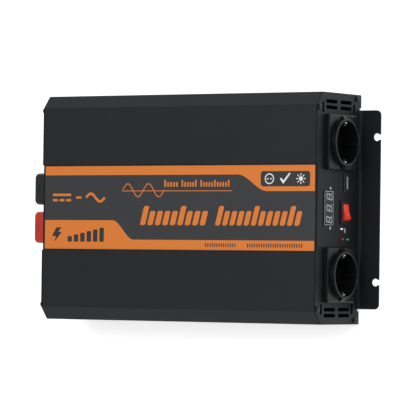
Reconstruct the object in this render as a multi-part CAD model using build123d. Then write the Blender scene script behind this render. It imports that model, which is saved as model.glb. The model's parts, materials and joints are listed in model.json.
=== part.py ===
"""Power inverter: an extruded aluminium case with sockets and controls at one end, fans and cable terminals
at the other.

Millimetres. +X towards the socket end, +Z up. The origin is the centre of the case's underside.
"""
from build123d import *
import math
import os

# ---- shared small values ----
CUT = 1.0                    # how far a cut runs past what it cuts
FUSE_IN = 0.5                # how far a rib or strut runs into the wall that it joins
THREAD_GAP = 0.05            # a screw's thread to its hole or nut
SNAP_GAP = 0.1               # a snap, plug or screw to the hole or panel that it meets
SMALL_CORNER = 0.5
HEAD_ROUND = 0.45            # rounding of a pan head, as a share of its height
CROSS_SLOT = 0.75            # width of a cross recess

# ---- case ----
CASE_LENGTH = 300.0          # over the outer faces of the two end panels
CASE_WIDTH = 210.0
CASE_HEIGHT = 78.5
CHAMFER_Y = 11.8             # chamfer of the two long top edges, across
CHAMFER_Z = 10.0             # and down
EDGE_RADIUS = 1.2            # rounding of the extruded edges
WALL = 2.5                   # extruded wall
CHANNEL_WIDTH = 79.5         # label channel in the top face
CHANNEL_DEPTH = 1.8
CHANNEL_FLOOR = 2.2          # metal left under the channel
FOOT_WIDTH = 12.0            # inward foot along each lower edge of the shell
FOOT_THICKNESS = 3.0
BASE_THICKNESS = 2.0
PANEL_THICKNESS = 1.5
FIT_GAP = 0.3                # clearance of pieces that drop into each other
LABEL_THICKNESS = 0.5
LABEL_MARGIN = 0.55          # from the label's edge to the channel's wall

# ---- mounting flanges ----
FLANGE_REACH = 21.5          # from the panel's outer face
FLANGE_WIDTH = 182.0
FLANGE_CORNER = 4.5
BEND_RADIUS = 3.0            # inside radius of the bend
RELIEF_WIDTH = 2.0           # cut at each end of the bend
NOTCH_RADIUS = 3.6
NOTCH_NECK = 4.9
NOTCH_SPACING = 132.8
NOTCH_EDGE = 3.8             # from a notch's centre to the flange's edge

# ---- screws ----
M3_RADIUS = 1.45
M3_HOLE = 1.5
M3_HEAD_RADIUS = 2.6
M3_HEAD_HEIGHT = 1.8
RECESS_RADIUS = 1.0          # drive recess
RECESS_DEPTH_M3 = 0.8
PANEL_SCREW_LENGTH = 8.0
TOP_SCREW_INSET = (14.0, 3.2)     # from the case's side and top
LOW_SCREW_INSET = (3.8, 7.8)      # from the case's side and underside
TOP_BOSS_RADIUS = 3.0
LOW_BOSS_RADIUS = 3.3
BASE_SCREW_HEAD = 2.9        # countersunk head radius
BASE_SCREW_SPACING = 80.0

# ---- vents ----
VENT_CORNER = 1.2
VENT_LENGTH = 20.0
VENT_WIDTH = 3.3
VENT_INSETS = (8.2, 13.6)    # slot centres from the case's side
VENT_HEIGHTS = (27.4, 52.9)
SMALL_VENT_LENGTH = 9.5
SMALL_VENT_HEIGHT = 3.4
SMALL_VENT_INSET = 13.8
SMALL_VENT_HEIGHTS = (13.0, 68.2)

# ---- sockets ----
SOCKET_INSET = 45.0          # socket centre from the case's side
SOCKET_HEIGHT = 40.5
SOCKET_PLATE = 50.0
SOCKET_PLATE_THICKNESS = 5.1
COLLAR_RADIUS = 21.5
COLLAR_REACH = 4.7
RECESS_WELL_RADIUS = 19.5
RECESS_DEPTH = 17.5
SOCKET_FLOOR = 2.5
CHAMBER_DEPTH = 15.0
BACK_CAP_THICKNESS = 2.5
PIN_SPACING = 19.0
PIN_HOLE_RADIUS = 2.75
CONTACT_OUTER = 3.5
CONTACT_INNER = 2.45
CLIP_WIDTH = 3.5
CLIP_THICKNESS = 0.8
CLIP_REACH = 17.6                 # earth clip's arms from the socket's centre
CLIP_SLOT_GAP = 0.25
CLIP_WAIST = 2.0                  # how far an arm bends in towards the plug
CLIP_TIP_DROP = 2.0               # arm's tip below the collar's rim
CLIP_WAIST_DROP = 3.8
CLIP_BEND_DROP = 9.0
BACK_PLUG = 2.0                   # back cap's plug inside the socket's chamber
SOCKET_CORNER = 2.5
SOCKET_CHAMFER = 0.8
COLLAR_ROUND = 0.7
GUSSET_WIDTH = 6.0
GUSSET_MARGIN = 0.6               # gusset's foot to the plate's edge
GUSSET_DROP = 1.2                 # gusset's top below the rim
RIB_SIZE = (4.8, 2.4)             # guide ribs in the recess, width and height
RIB_DROP = 2.5                    # rib's end below the rim
WING_SIZE = (8.0, 2.4)            # snap wings behind the panel
WING_LENGTH = 5.9
SLEEVE_FLOOR = 2.0                # contact sleeve's closed end
SLEEVE_SLIT = 0.8
LEAD_RADIUS = 1.5
LEAD_EXIT = 9.0                   # straight run out of the socket's back
LEAD_DROP = 12.0
LEAD_SPREAD = 4.0
LEAD_INSET = 10.0                 # lead's foot from the main board's end

# ---- rocker switch ----
SWITCH_Y = -3.2
SWITCH_Z = 29.0
SWITCH_BEZEL = (21.0, 15.0)       # across Y and Z
SWITCH_BEZEL_HEIGHT = 2.0
SWITCH_BODY = (19.2, 13.0)
SWITCH_DEPTH = 16.0
SWITCH_CORNER = 1.2
ROCKER_RADIUS = 7.9
ROCKER_WIDTH = 8.6
ROCKER_TIP_ANGLE = 34.0           # from the pivot to a tip, with the rocker level
ROCKER_TILT = 14.0                # each way from level; it rests tilted, the -Y end standing out
ROCKER_PIVOT_DEPTH = 0.5          # behind the panel's outer face
ROCKER_GAP = 0.25
PIVOT_PIN_RADIUS = 1.0
PIVOT_PIN_GAP = 0.05
PIVOT_PIN_END = 0.1               # pin's end short of the housing's side
ROCKER_SKIRT = 5.9                # well depth below the pivot
ROCKER_HEEL_ANGLE = -25.0         # from the pivot to the rocker's inner corners
ROCKER_TIP_ROUND = 0.6
ROCKER_DISH = 0.8                 # hollow of the rocker's face between its tips
WELL_FLOOR_GAP = 1.0
LATCH_SIZE = (4.9, 1.0, 5.0)      # switch latches behind the panel: X, Y, Z
LATCH_OFFSET = 0.2                # latch's middle beyond the housing's side
SWITCH_TAB = (8.0, 0.8, 4.8)
SWITCH_TAB_PITCH = 6.5

# ---- display, lamps, USB port and their board ----
DISPLAY_Y = 0.2
DISPLAY_Z = 57.4
DISPLAY_SIZE = (31.8, 16.8)
DISPLAY_BEZEL_HEIGHT = 0.9
DISPLAY_WINDOW = (30.0, 14.8)
DISPLAY_RIM = 0.8                 # width of the bezel's inner edge
DISPLAY_SIDE_GAP = 0.2            # between the display block and the bezel's opening
DISPLAY_DEPTH = 6.5               # of the display block, behind the panel
DISPLAY_PIN_COUNT = 6
DISPLAY_PIN_PITCH = 2.54
DISPLAY_PIN_ROW = 4.6             # each row of pins from the display's middle
DISPLAY_PIN_RADIUS = 0.3
DISPLAY_SCREW_OFFSET = 18.0
DISPLAY_SCREW_Z = 54.6
DISPLAY_SCREW_RADIUS = 0.95
DISPLAY_SCREW_HEAD = (1.5, 0.9)   # radius and height
DISPLAY_SCREW_SOCKET = 0.55
DISPLAY_SCREW_LENGTH = 7.5
SPACER_RADIUS = 2.2
SPACER_BORE = 1.0
USB_Y = 23.7
USB_Z = 26.0
USB_SIZE = (13.2, 5.8)
USB_WALL = 0.4
USB_LENGTH = 14.0
USB_PROUD = 0.9
USB_BACK = (1.0, 3.0)             # back block from the front board
USB_TONGUE_GAPS = (0.3, 0.6)      # back block and tongue to the sleeve's sides
USB_TONGUE_Z = (0.1, 1.9)         # tongue's underside and top above the sleeve's inner floor
USB_TONGUE_SETBACK = 0.5
USB_CONTACT = (1.0, 0.2)
USB_CONTACT_SETBACK = 1.5
USB_CONTACT_Y = (-3.5, -1.0, 1.0, 3.5)
LAMP_RADIUS = 1.2
LAMP_PROUD = 2.8
LAMP_COLLAR = 0.5                 # collar beyond the lens
LAMP_COLLAR_X = (3.0, 1.0)        # collar behind the panel's inner face
LAMP_LEG_RADIUS = 0.25
LAMP_LEG_PITCH = 1.27
LAMP_Y = -27.7
RED_LAMP_Z = 34.0
GREEN_LAMP_Z = 24.5
FRONT_BOARD_GAP = 12.0            # from the panel's inner face to the front board
FRONT_BOARD_WIDTH = 66.0
FRONT_BOARD_Z = (17.0, 70.0)
BOARD_NOTCH_GAP = 1.0             # board to switch housing
BOARD_THICKNESS = 1.6

# ---- fans ----
FAN_SIZE = 60.0
FAN_DEPTH = 25.0
FAN_HOLE_SPACING = 50.0
FAN_HOLE_RADIUS = 2.15
FAN_INSET = 38.0                  # fan centre from the case's side
FAN_BORE = 28.5
FAN_BLADE_RADIUS = 27.6
FAN_HUB_RADIUS = 14.0
FAN_SHAFT_RADIUS = 1.5
FAN_SHAFT_GAP = 0.05
FAN_BLADES = 7
FAN_BLADE_TWIST = 34.0
FAN_BLADE_WIDTH = 1.6
FAN_BLADE_ROOT = 1.5              # blade's root inside the hub
FAN_TIP_LIFT = 0.8                # flat blade tip inside the blade circle
FAN_CORNER = 4.0
FAN_FLANGE = 4.0                  # thickness of the frame's corner flanges
FAN_POCKET = 20.5                 # corner pockets from the fan's centre
FAN_BARREL_INSET = 0.2
FAN_CARRIER = 3.0
FAN_STRUTS = 3
FAN_STRUT_WIDTH = 3.2
FAN_SHAFT_INSET = 4.5             # shaft's tip from the frame's outer face
FAN_ROTOR_INSET = 2.5             # rotor from the frame's outer face
FAN_ROTOR_GAP = 0.6               # rotor to motor carrier
FAN_HUB_CAP = 1.8                 # hub's closed end
GUARD_WIRE = 0.9                  # guard wire radius
GUARD_EYE = 2 * GUARD_WIRE        # thickness of the eyes under the screw heads
GUARD_EYE_RADIUS = 3.6
GUARD_RING_RISE = 1.2             # how far the rings stand outside the cross bars
GUARD_RINGS = (8.0, 15.0, 22.0, 29.0)
FAN_SCREW_RADIUS = 2.05
FAN_SCREW_HEAD = (3.4, 2.2)       # radius and height
FAN_SCREW_GRIP = 10.0             # screw inside the fan frame

# ---- cable terminals ----
TERMINAL_Y = 18.3
TERMINAL_Z = 37.0
COVER_SIZE = (30.0, 28.0)         # across Y and Z
COVER_WALL = 1.8
COVER_REACH = 29.3                # from the panel's outer face
COVER_CORNER = 5.0
COVER_HOLE_RADIUS = 6.2
TERMINAL_BLOCK = 16.0
CABLE_BORE_RADIUS = 5.0
CABLE_BORE_DEPTH = 18.0
TERMINAL_CORNER = 1.0
INSULATOR_SIZE = (72.0, 36.0)
INSULATOR_THICKNESS = 2.4
INSULATOR_BOSS = 3.6
INSULATOR_SLEEVE = 2.0            # wall round a terminal where it passes the panel
INSULATOR_TUBE = 3.0              # reach of the sleeve behind the panel
TERMINAL_GAP = 0.1                # insulator to terminal block, each side
TERMINAL_SETBACK = 3.0            # block's outer end from the cover's end wall
TERMINAL_INNER_LENGTH = 20.0      # block's reach behind the panel's outer face
CLAMP_HOLE = 2.5                  # radius of a terminal's tapped clamp holes
CLAMP_INSETS = (3.6, 10.2)        # clamp holes from the block's outer end
CLAMP_SCREW_GAP = 0.3             # grub screw to the cable bore, backed off
CLAMP_SCREW_PROUD = 2.4
CLAMP_KEY_RADIUS = 1.4
COVER_END_ROUND = 3.0
MARK_SIZE = (7.5, 1.5)            # stroke of a polarity mark, length and width
MARK_DEPTH = 0.6
MARK_INSET = 6.2                  # polarity mark from the cover's outer end
EARTH_SCREW_Z = 12.0
EARTH_SCREW_RADIUS = 1.95
EARTH_SCREW_REACH = 11.0          # outside the rear panel
EARTH_HEAD = (3.9, 2.2)           # radius and height
EARTH_WASHER = (4.5, 0.8)
EARTH_NUT = (4.0, 3.0)            # radius over the corners and height
BUS_BAR_WIDTH = 12.0
BUS_BAR_THICKNESS = 2.0
BUS_BAR_DROP = 5.0                # bar's top below the terminal's axis
BUS_BAR_FOOT = 7.5
BUS_BAR_LENGTH = 17.0             # from the terminal block to the foot

# ---- electronics ----
BOARD_CLEARANCE = 10.0            # standoff height
BOARD_END_GAP = 4.5               # board's end to the fans' inner faces
BOARD_SIDE_MARGIN = 2.6           # board edge to the shell's inner wall
STANDOFF_RADIUS = 3.0
STANDOFF_INSET = 8.0              # from the board's end and the shell's foot
BOARD_SCREW_LENGTH = 6.0
TRANSISTOR_COUNT = 8
TRANSISTOR_PITCH = 21.0
TRANSISTOR_BODY = (10.2, 4.5, 15.6)
TRANSISTOR_Z = 22.0
TRANSISTOR_LEG_PITCH = 2.54
TRANSISTOR_LEG = (0.8, 0.6)
TRANSISTOR_LEG_INSET = 1.6        # legs from the body's inner face
PAD_THICKNESS = 0.5
PAD_MARGIN = 1.0                  # pad beyond the transistor on every side
BAR_THICKNESS = 2.0
BAR_HEIGHT = 10.0
BAR_OVERHANG = 7.0                # beyond the last transistor's middle
CLAMP_Z = 30.0                    # height of the transistor clamp screws
CLAMP_SCREW_GRIP = 1.7            # clamp screw inside the shell's wall
BLIND_SKIN = 0.6                  # wall left outside a blind screw hole
TRANSFORMER_X = (-42.0, 8.0, 58.0)
TRANSFORMER_Y = -38.0
CORE_SIZE = (44.0, 16.0, 42.0)
CORE_LEG = 11.0
CORE_YOKE = 6.0
WINDING_GAP = 0.5
WINDING_ROUND = 0.8               # corner radius as a share of the winding's thickness
INPUT_CAN = (9.0, 36.0)           # radius and height
INPUT_CAN_COUNT = 7
INPUT_CAN_PITCH = 20.0
INPUT_CAN_INSET = 66.0            # row of cans from the rear panel
OUTPUT_CAN = (15.0, 45.0)
OUTPUT_CAN_Y = 44.0
OUTPUT_CAN_INSETS = (112.0, 78.0)  # cans from the front panel
CAN_ROUND = 1.0
CHOKE_X = -12.0
CHOKE_Y = 46.0
CHOKE_SIZE = (20.0, 11.0, 16.0)   # outer radius, inner radius, height
CHOKE_TURNS = 24
CHOKE_WIRE = 1.6
CHOKE_GAP = 0.3                   # between the wire and the ring
CHOKE_LIFT = CHOKE_WIRE + 2 * CHOKE_GAP
FUSE_COUNT = 6
FUSE_PITCH = 24.0
FUSE_INSET = 46.0                 # row of fuses from the rear panel
FUSE_BODY = (5.0, 19.0, 11.0)
FUSE_BLADE = (1.0, 5.0, 5.0)
FUSE_BLADE_OFFSET = 7.0
CONTROL_BOARD_X = (14.0, 90.0)
CONTROL_BOARD_Y = 2.0
CONTROL_BOARD_HEIGHT = 32.0
CHIP_COUNT = 4
CHIP_PITCH = 18.0
CHIP_SIZE = (10.0, 2.4, 8.0)
CHIP_Z = 14.0                     # chips above the main board

HALF_LENGTH = CASE_LENGTH / 2
HALF_WIDTH = CASE_WIDTH / 2
SHELL_END = HALF_LENGTH - PANEL_THICKNESS
INNER_Y = HALF_WIDTH - WALL
BOARD_Z = BASE_THICKNESS + BOARD_CLEARANCE
BOARD_TOP = BOARD_Z + BOARD_THICKNESS
SOCKET_Y = HALF_WIDTH - SOCKET_INSET
FAN_Y = HALF_WIDTH - FAN_INSET
FAN_Z = (BASE_THICKNESS + CASE_HEIGHT - WALL) / 2
FAN_FRONT = -SHELL_END            # the fan stands on the rear panel's inner face
CHANNEL_Z = CASE_HEIGHT - CHANNEL_DEPTH
SOCKET_FACE = HALF_LENGTH + SOCKET_PLATE_THICKNESS
SOCKET_RIM = SOCKET_FACE + COLLAR_REACH
SOCKET_WELL_FLOOR = SOCKET_RIM - RECESS_DEPTH
SOCKET_CHAMBER = SOCKET_WELL_FLOOR - SOCKET_FLOOR     # outer end of the rear chamber
SOCKET_BACK = SOCKET_CHAMBER - CHAMBER_DEPTH
ROCKER_PIVOT_X = HALF_LENGTH - ROCKER_PIVOT_DEPTH
SWITCH_BACK = SHELL_END - SWITCH_DEPTH
BOARD_FACE = SHELL_END - FRONT_BOARD_GAP
BLOCK_END = -HALF_LENGTH - COVER_REACH + COVER_WALL + TERMINAL_SETBACK
BLOCK_INNER = -HALF_LENGTH + TERMINAL_INNER_LENGTH
TRANSISTOR_BACK = INNER_Y - PAD_THICKNESS
CLAMP_BAR_OUTER = TRANSISTOR_BACK - TRANSISTOR_BODY[1]
CLAMP_BAR_INNER = CLAMP_BAR_OUTER - BAR_THICKNESS
INPUT_CAN_X = -HALF_LENGTH + INPUT_CAN_INSET
OUTPUT_CAN_X = [HALF_LENGTH - inset for inset in OUTPUT_CAN_INSETS]
FUSE_X = -HALF_LENGTH + FUSE_INSET
CHOKE_LOW = BOARD_TOP + CHOKE_LIFT
BOARD_END_MARGIN = PANEL_THICKNESS + FAN_DEPTH + BOARD_END_GAP     # board's end to the panel's outer face


# ---- plain shapes ----
def block(x0, x1, y0, y1, z0, z1):
    """Box between two opposite corners."""
    return Pos((x0 + x1) / 2, (y0 + y1) / 2, (z0 + z1) / 2) * Box(x1 - x0, y1 - y0, z1 - z0)


def centred_block(x0, x1, y, wide, z, tall):
    """Box from x0 to x1 with its middle at y, z."""
    return Pos((x0 + x1) / 2, y, z) * Box(x1 - x0, wide, tall)


def x_rod(radius, x0, x1, y, z):
    """Round bar along X."""
    return Pos((x0 + x1) / 2, y, z) * Rot(0, 90, 0) * Cylinder(radius, x1 - x0)


def y_rod(radius, y0, y1, x, z):
    """Round bar along Y."""
    return Pos(x, (y0 + y1) / 2, z) * Rot(90, 0, 0) * Cylinder(radius, y1 - y0)


def z_rod(radius, z0, z1, x, y):
    """Round bar along Z."""
    return Pos(x, y, (z0 + z1) / 2) * Cylinder(radius, z1 - z0)


def x_plate(width, height, corner, x0, x1, y, z):
    """Plate with rounded corners, facing X."""
    outline = Plane.YZ.offset(x0) * Pos(y, z) * RectangleRounded(width, height, corner)
    return extrude(outline, amount=x1 - x0)


def polygon(points):
    """Flat face inside a closed outline."""
    return make_face(Polyline(*points, close=True))


def group(shapes):
    """Separate solids kept in one node."""
    return Compound(children=list(shapes))


def both_sides(shape):
    """A shape and its mirror image across the XZ plane."""
    return [shape, mirror(shape, about=Plane.XZ)]


# ---- case ----
def case_outline(drop=0.0):
    """Outer section of the case in Y and Z, without the label channel."""
    y = HALF_WIDTH
    z = CASE_HEIGHT
    face = polygon([(-y, -drop), (y, -drop), (y, z - CHAMFER_Z), (y - CHAMFER_Y, z),
                    (CHAMFER_Y - y, z), (-y, z - CHAMFER_Z)])
    corners = face.vertices().filter_by(lambda v: v.Y > 0.5 * z)
    return fillet(corners, EDGE_RADIUS)


def channel_section():
    """Section of the label channel."""
    return Pos(0, CHANNEL_Z + CHANNEL_DEPTH) * Rectangle(CHANNEL_WIDTH, 2 * CHANNEL_DEPTH)


def panel_screw_places():
    """Y and Z of the four screws of an end panel."""
    top = (HALF_WIDTH - TOP_SCREW_INSET[0], CASE_HEIGHT - TOP_SCREW_INSET[1])
    low = (HALF_WIDTH - LOW_SCREW_INSET[0], LOW_SCREW_INSET[1])
    return [(side * y, z) for side in (1, -1) for y, z in (top, low)]


def base_screw_places():
    """X and Y of the screws that hold the base plate to the shell's feet."""
    y = INNER_Y - FOOT_WIDTH / 2
    return [(i * BASE_SCREW_SPACING, side * y) for i in (-1.5, -0.5, 0.5, 1.5) for side in (1, -1)]


def make_top_shell():
    """Extruded cover: top, chamfers, side walls, inward feet, screw ports and label channel."""
    cavity = offset(case_outline(drop=2 * WALL), amount=-WALL)
    thickening = CHANNEL_FLOOR + CHANNEL_DEPTH - WALL
    thick = Pos(0, CASE_HEIGHT - WALL) * Rectangle(CHANNEL_WIDTH + 4 * WALL, 2 * thickening)
    section = case_outline() - cavity + thick
    for side in (1, -1):
        foot_z = BASE_THICKNESS + FOOT_THICKNESS / 2
        section += Pos(side * (INNER_Y - FOOT_WIDTH / 2), foot_z) * Rectangle(FOOT_WIDTH, FOOT_THICKNESS)
    for y, z in panel_screw_places():
        boss = TOP_BOSS_RADIUS if z > CASE_HEIGHT / 2 else LOW_BOSS_RADIUS
        section += Pos(y, z) * Circle(boss)
    section = section - channel_section()
    for y, z in panel_screw_places():
        section -= Pos(y, z) * Circle(M3_HOLE)
    shell = extrude(Plane.YZ.offset(-SHELL_END) * section, amount=2 * SHELL_END)
    for x, y in base_screw_places():
        shell -= z_rod(M3_HOLE, BASE_THICKNESS - CUT, BASE_THICKNESS + FOOT_THICKNESS + CUT, x, y)
    for x in clamp_screw_places():
        for hole in both_sides(y_rod(M3_HOLE, INNER_Y - CUT, HALF_WIDTH - BLIND_SKIN, x, CLAMP_Z)):
            shell -= hole
    return shell


def make_base_plate():
    """Flat sheet closing the underside between the shell's walls."""
    y = INNER_Y - FIT_GAP
    plate = block(-SHELL_END, SHELL_END, -y, y, 0, BASE_THICKNESS)
    hole = M3_HOLE + SNAP_GAP
    depth = BASE_SCREW_HEAD + SNAP_GAP - hole + SNAP_GAP
    for x, y in base_screw_places():
        plate -= z_rod(hole, -CUT, BASE_THICKNESS + CUT, x, y)
        plate -= Pos(x, y, depth / 2) * Cone(hole + depth, hole, depth)
    return plate


def make_base_screws():
    """Countersunk screws from below, flush with the base plate."""
    screws = []
    cone_height = BASE_SCREW_HEAD - M3_RADIUS
    for x, y in base_screw_places():
        screw = Pos(x, y, cone_height / 2) * Cone(BASE_SCREW_HEAD, M3_RADIUS, cone_height)
        screw += z_rod(M3_RADIUS, cone_height / 2, BASE_THICKNESS + FOOT_THICKNESS, x, y)
        screw -= z_rod(RECESS_RADIUS, -CUT, RECESS_DEPTH_M3, x, y)
        screws.append(screw)
    return group(screws)


def make_label_plate():
    """Thin printed sheet lying in the channel."""
    y = CHANNEL_WIDTH / 2 - LABEL_MARGIN
    x = SHELL_END - LABEL_MARGIN
    return block(-x, x, -y, y, CHANNEL_Z, CHANNEL_Z + LABEL_THICKNESS)


def make_panel_blank():
    """End panel at +X before its cut-outs: flat sheet over the case's end, bent outwards into the flange."""
    outline = case_outline() - channel_section()
    sheet = extrude(Plane.YZ.offset(SHELL_END) * outline, amount=PANEL_THICKNESS)
    outer_radius = BEND_RADIUS + PANEL_THICKNESS
    half = FLANGE_WIDTH / 2
    relief = half + RELIEF_WIDTH
    leg_top = outer_radius + CUT
    sheet -= block(SHELL_END - CUT, HALF_LENGTH + CUT, -relief, relief, -CUT, leg_top)
    edge = HALF_LENGTH + FLANGE_REACH
    centre_x = HALF_LENGTH + BEND_RADIUS
    bend = y_rod(outer_radius, -half, half, centre_x, outer_radius)
    bend -= y_rod(BEND_RADIUS, -half - CUT, half + CUT, centre_x, outer_radius)
    bend = bend & block(SHELL_END - CUT, centre_x, -half, half, -CUT, outer_radius)
    leg = block(SHELL_END, HALF_LENGTH, -half, half, outer_radius, leg_top)
    flange = block(centre_x, edge, -half, half, 0, PANEL_THICKNESS)
    corners = flange.edges().filter_by(Axis.Z).group_by(Axis.X)[-1]
    flange = fillet(corners, FLANGE_CORNER)
    for side in (1, -1):
        y = side * NOTCH_SPACING / 2
        flange -= z_rod(NOTCH_RADIUS, -CUT, PANEL_THICKNESS + CUT, edge - NOTCH_EDGE, y)
        flange -= centred_block(edge - NOTCH_EDGE, edge + CUT, y, NOTCH_NECK, 0, 4 * PANEL_THICKNESS)
    panel = sheet + leg + bend + flange
    for y, z in panel_screw_places():
        panel -= x_rod(M3_HOLE + SNAP_GAP, SHELL_END - CUT, HALF_LENGTH + CUT, y, z)
    for side in (1, -1):
        for z in SMALL_VENT_HEIGHTS:
            y = side * (HALF_WIDTH - SMALL_VENT_INSET)
            panel -= x_plate(SMALL_VENT_LENGTH, SMALL_VENT_HEIGHT, VENT_CORNER, SHELL_END - CUT,
                             HALF_LENGTH + CUT, y, z)
    return panel


def cut_tall_vents(panel):
    """Upright vent slots in two columns near each side."""
    x0 = SHELL_END - CUT
    x1 = HALF_LENGTH + CUT
    for side in (1, -1):
        for inset in VENT_INSETS:
            for z in VENT_HEIGHTS:
                panel -= x_plate(VENT_WIDTH, VENT_LENGTH, VENT_CORNER, x0, x1, side * (HALF_WIDTH - inset), z)
    return panel


def make_front_panel():
    """Socket end panel with its cut-outs."""
    panel = cut_tall_vents(make_panel_blank())
    x0 = SHELL_END - CUT
    x1 = HALF_LENGTH + CUT
    for side in (1, -1):
        panel -= x_rod(COLLAR_RADIUS + FIT_GAP, x0, x1, side * SOCKET_Y, SOCKET_HEIGHT)
    openings = [(SWITCH_BODY, SWITCH_Y, SWITCH_Z), (USB_SIZE, USB_Y, USB_Z),
                (DISPLAY_WINDOW, DISPLAY_Y, DISPLAY_Z)]
    for size, y, z in openings:
        panel -= x_plate(size[0] + 2 * FIT_GAP, size[1] + 2 * FIT_GAP, SMALL_CORNER, x0, x1, y, z)
    for z in (RED_LAMP_Z, GREEN_LAMP_Z):
        panel -= x_rod(LAMP_RADIUS + FIT_GAP, x0, x1, LAMP_Y, z)
    for y in display_screw_places():
        panel -= x_rod(DISPLAY_SCREW_RADIUS + SNAP_GAP, x0, x1, y, DISPLAY_SCREW_Z)
    return panel


def make_rear_panel():
    """Fan end panel: the same blank turned end for end, with its own cut-outs."""
    panel = mirror(make_panel_blank(), about=Plane.YZ)
    x0 = -HALF_LENGTH - CUT
    x1 = -SHELL_END + CUT
    for y, z in fan_places():
        panel -= x_rod(FAN_BORE, x0, x1, y, z)
        for hole_y, hole_z in fan_hole_places(y, z):
            panel -= x_rod(FAN_HOLE_RADIUS, x0, x1, hole_y, hole_z)
    for side in (1, -1):
        size = TERMINAL_BLOCK + 2 * INSULATOR_SLEEVE + 2 * FIT_GAP
        panel -= x_plate(size, size, SMALL_CORNER, x0, x1, side * TERMINAL_Y, TERMINAL_Z)
    panel -= x_rod(EARTH_SCREW_RADIUS + SNAP_GAP, x0, x1, 0, EARTH_SCREW_Z)
    return panel


def make_panel_screws(end):
    """Four pan-head screws through an end panel into the shell's screw ports; end is +1 or -1."""
    screws = []
    slot_floor = HALF_LENGTH + M3_HEAD_HEIGHT / 2
    for y, z in panel_screw_places():
        head = x_rod(M3_HEAD_RADIUS, HALF_LENGTH, HALF_LENGTH + M3_HEAD_HEIGHT, y, z)
        head = fillet(head.edges().group_by(Axis.X)[-1], HEAD_ROUND * M3_HEAD_HEIGHT)
        screw = head + x_rod(M3_RADIUS, HALF_LENGTH - PANEL_SCREW_LENGTH, HALF_LENGTH, y, z)
        for wide, tall in ((M3_HEAD_RADIUS, CROSS_SLOT), (CROSS_SLOT, M3_HEAD_RADIUS)):
            screw -= centred_block(slot_floor, slot_floor + M3_HEAD_HEIGHT, y, wide, z, tall)
        screws.append(screw if end > 0 else mirror(screw, about=Plane.YZ))
    return group(screws)


# ---- sockets ----
def socket_gusset():
    """One gusset from the plate's face up to the collar, reaching out along +Z from the socket's centre."""
    foot = SOCKET_PLATE / 2 - GUSSET_MARGIN
    top = SOCKET_RIM - GUSSET_DROP
    under = SOCKET_FACE - CUT
    outline = polygon([(under, 0), (under, foot), (SOCKET_FACE, foot),
                       (top, COLLAR_RADIUS - FUSE_IN), (top, 0)])
    return extrude(Plane.XZ.offset(-GUSSET_WIDTH / 2) * outline, amount=GUSSET_WIDTH)


def make_socket_housing(side):
    """Moulded socket: square plate, round collar with two gussets, recess with its floor, rear chamber."""
    y = side * SOCKET_Y
    z = SOCKET_HEIGHT
    plate = x_plate(SOCKET_PLATE, SOCKET_PLATE, SOCKET_CORNER, HALF_LENGTH, SOCKET_FACE, y, z)
    plate = chamfer(plate.edges().group_by(Axis.X)[-1], SOCKET_CHAMFER)
    collar = x_rod(COLLAR_RADIUS, SOCKET_FACE, SOCKET_RIM, y, z)
    collar = fillet(collar.edges().group_by(Axis.X)[-1], COLLAR_ROUND)
    body = plate + collar + x_rod(COLLAR_RADIUS, SOCKET_BACK, HALF_LENGTH, y, z)
    gusset = socket_gusset()
    for angle in (90, 270):
        body += Pos(0, y, z) * Rot(angle, 0, 0) * gusset
    body -= x_rod(RECESS_WELL_RADIUS, SOCKET_WELL_FLOOR, SOCKET_RIM + CUT, y, z)
    body -= x_rod(RECESS_WELL_RADIUS, SOCKET_BACK - CUT, SOCKET_CHAMBER, y, z)
    rib_low = SOCKET_WELL_FLOOR - FUSE_IN
    rib_high = SOCKET_RIM - RIB_DROP
    well = x_rod(RECESS_WELL_RADIUS + FUSE_IN, rib_low, rib_high, y, z)
    slot_y = CLIP_THICKNESS + CLIP_SLOT_GAP
    slot_z = CLIP_WIDTH / 2 + CLIP_SLOT_GAP
    wing_x = SHELL_END - SNAP_GAP
    for end in (1, -1):
        rib_z = z + end * (RECESS_WELL_RADIUS - RIB_SIZE[1] / 4)
        body += centred_block(rib_low, rib_high, y, RIB_SIZE[0], rib_z, RIB_SIZE[1]) & well
        pin_z = z + end * PIN_SPACING / 2
        body -= x_rod(PIN_HOLE_RADIUS, SOCKET_CHAMBER - CUT, SOCKET_WELL_FLOOR + CUT, y, pin_z)
        body -= centred_block(SOCKET_CHAMBER - CUT, SOCKET_WELL_FLOOR + CUT, y + end * CLIP_REACH, 2 * slot_y,
                              z, 2 * slot_z)
        wing_z = z + end * (COLLAR_RADIUS + WING_SIZE[1] / 6)
        body += centred_block(wing_x - WING_LENGTH, wing_x, y, WING_SIZE[0], wing_z, WING_SIZE[1])
    return body


def make_socket_contacts(side):
    """Two slit brass sleeves behind the pin holes."""
    y = side * SOCKET_Y
    back = SOCKET_BACK + BACK_PLUG
    bore_end = back + SLEEVE_FLOOR
    sleeves = []
    for end in (1, -1):
        z = SOCKET_HEIGHT + end * PIN_SPACING / 2
        sleeve = x_rod(CONTACT_OUTER, back, SOCKET_CHAMBER, y, z)
        sleeve -= x_rod(CONTACT_INNER, bore_end, SOCKET_CHAMBER + CUT, y, z)
        sleeve -= centred_block(bore_end + SLEEVE_FLOOR, SOCKET_CHAMBER + CUT, y, 3 * CONTACT_OUTER,
                                z, SLEEVE_SLIT)
        sleeves.append(sleeve)
    return group(sleeves)


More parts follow.
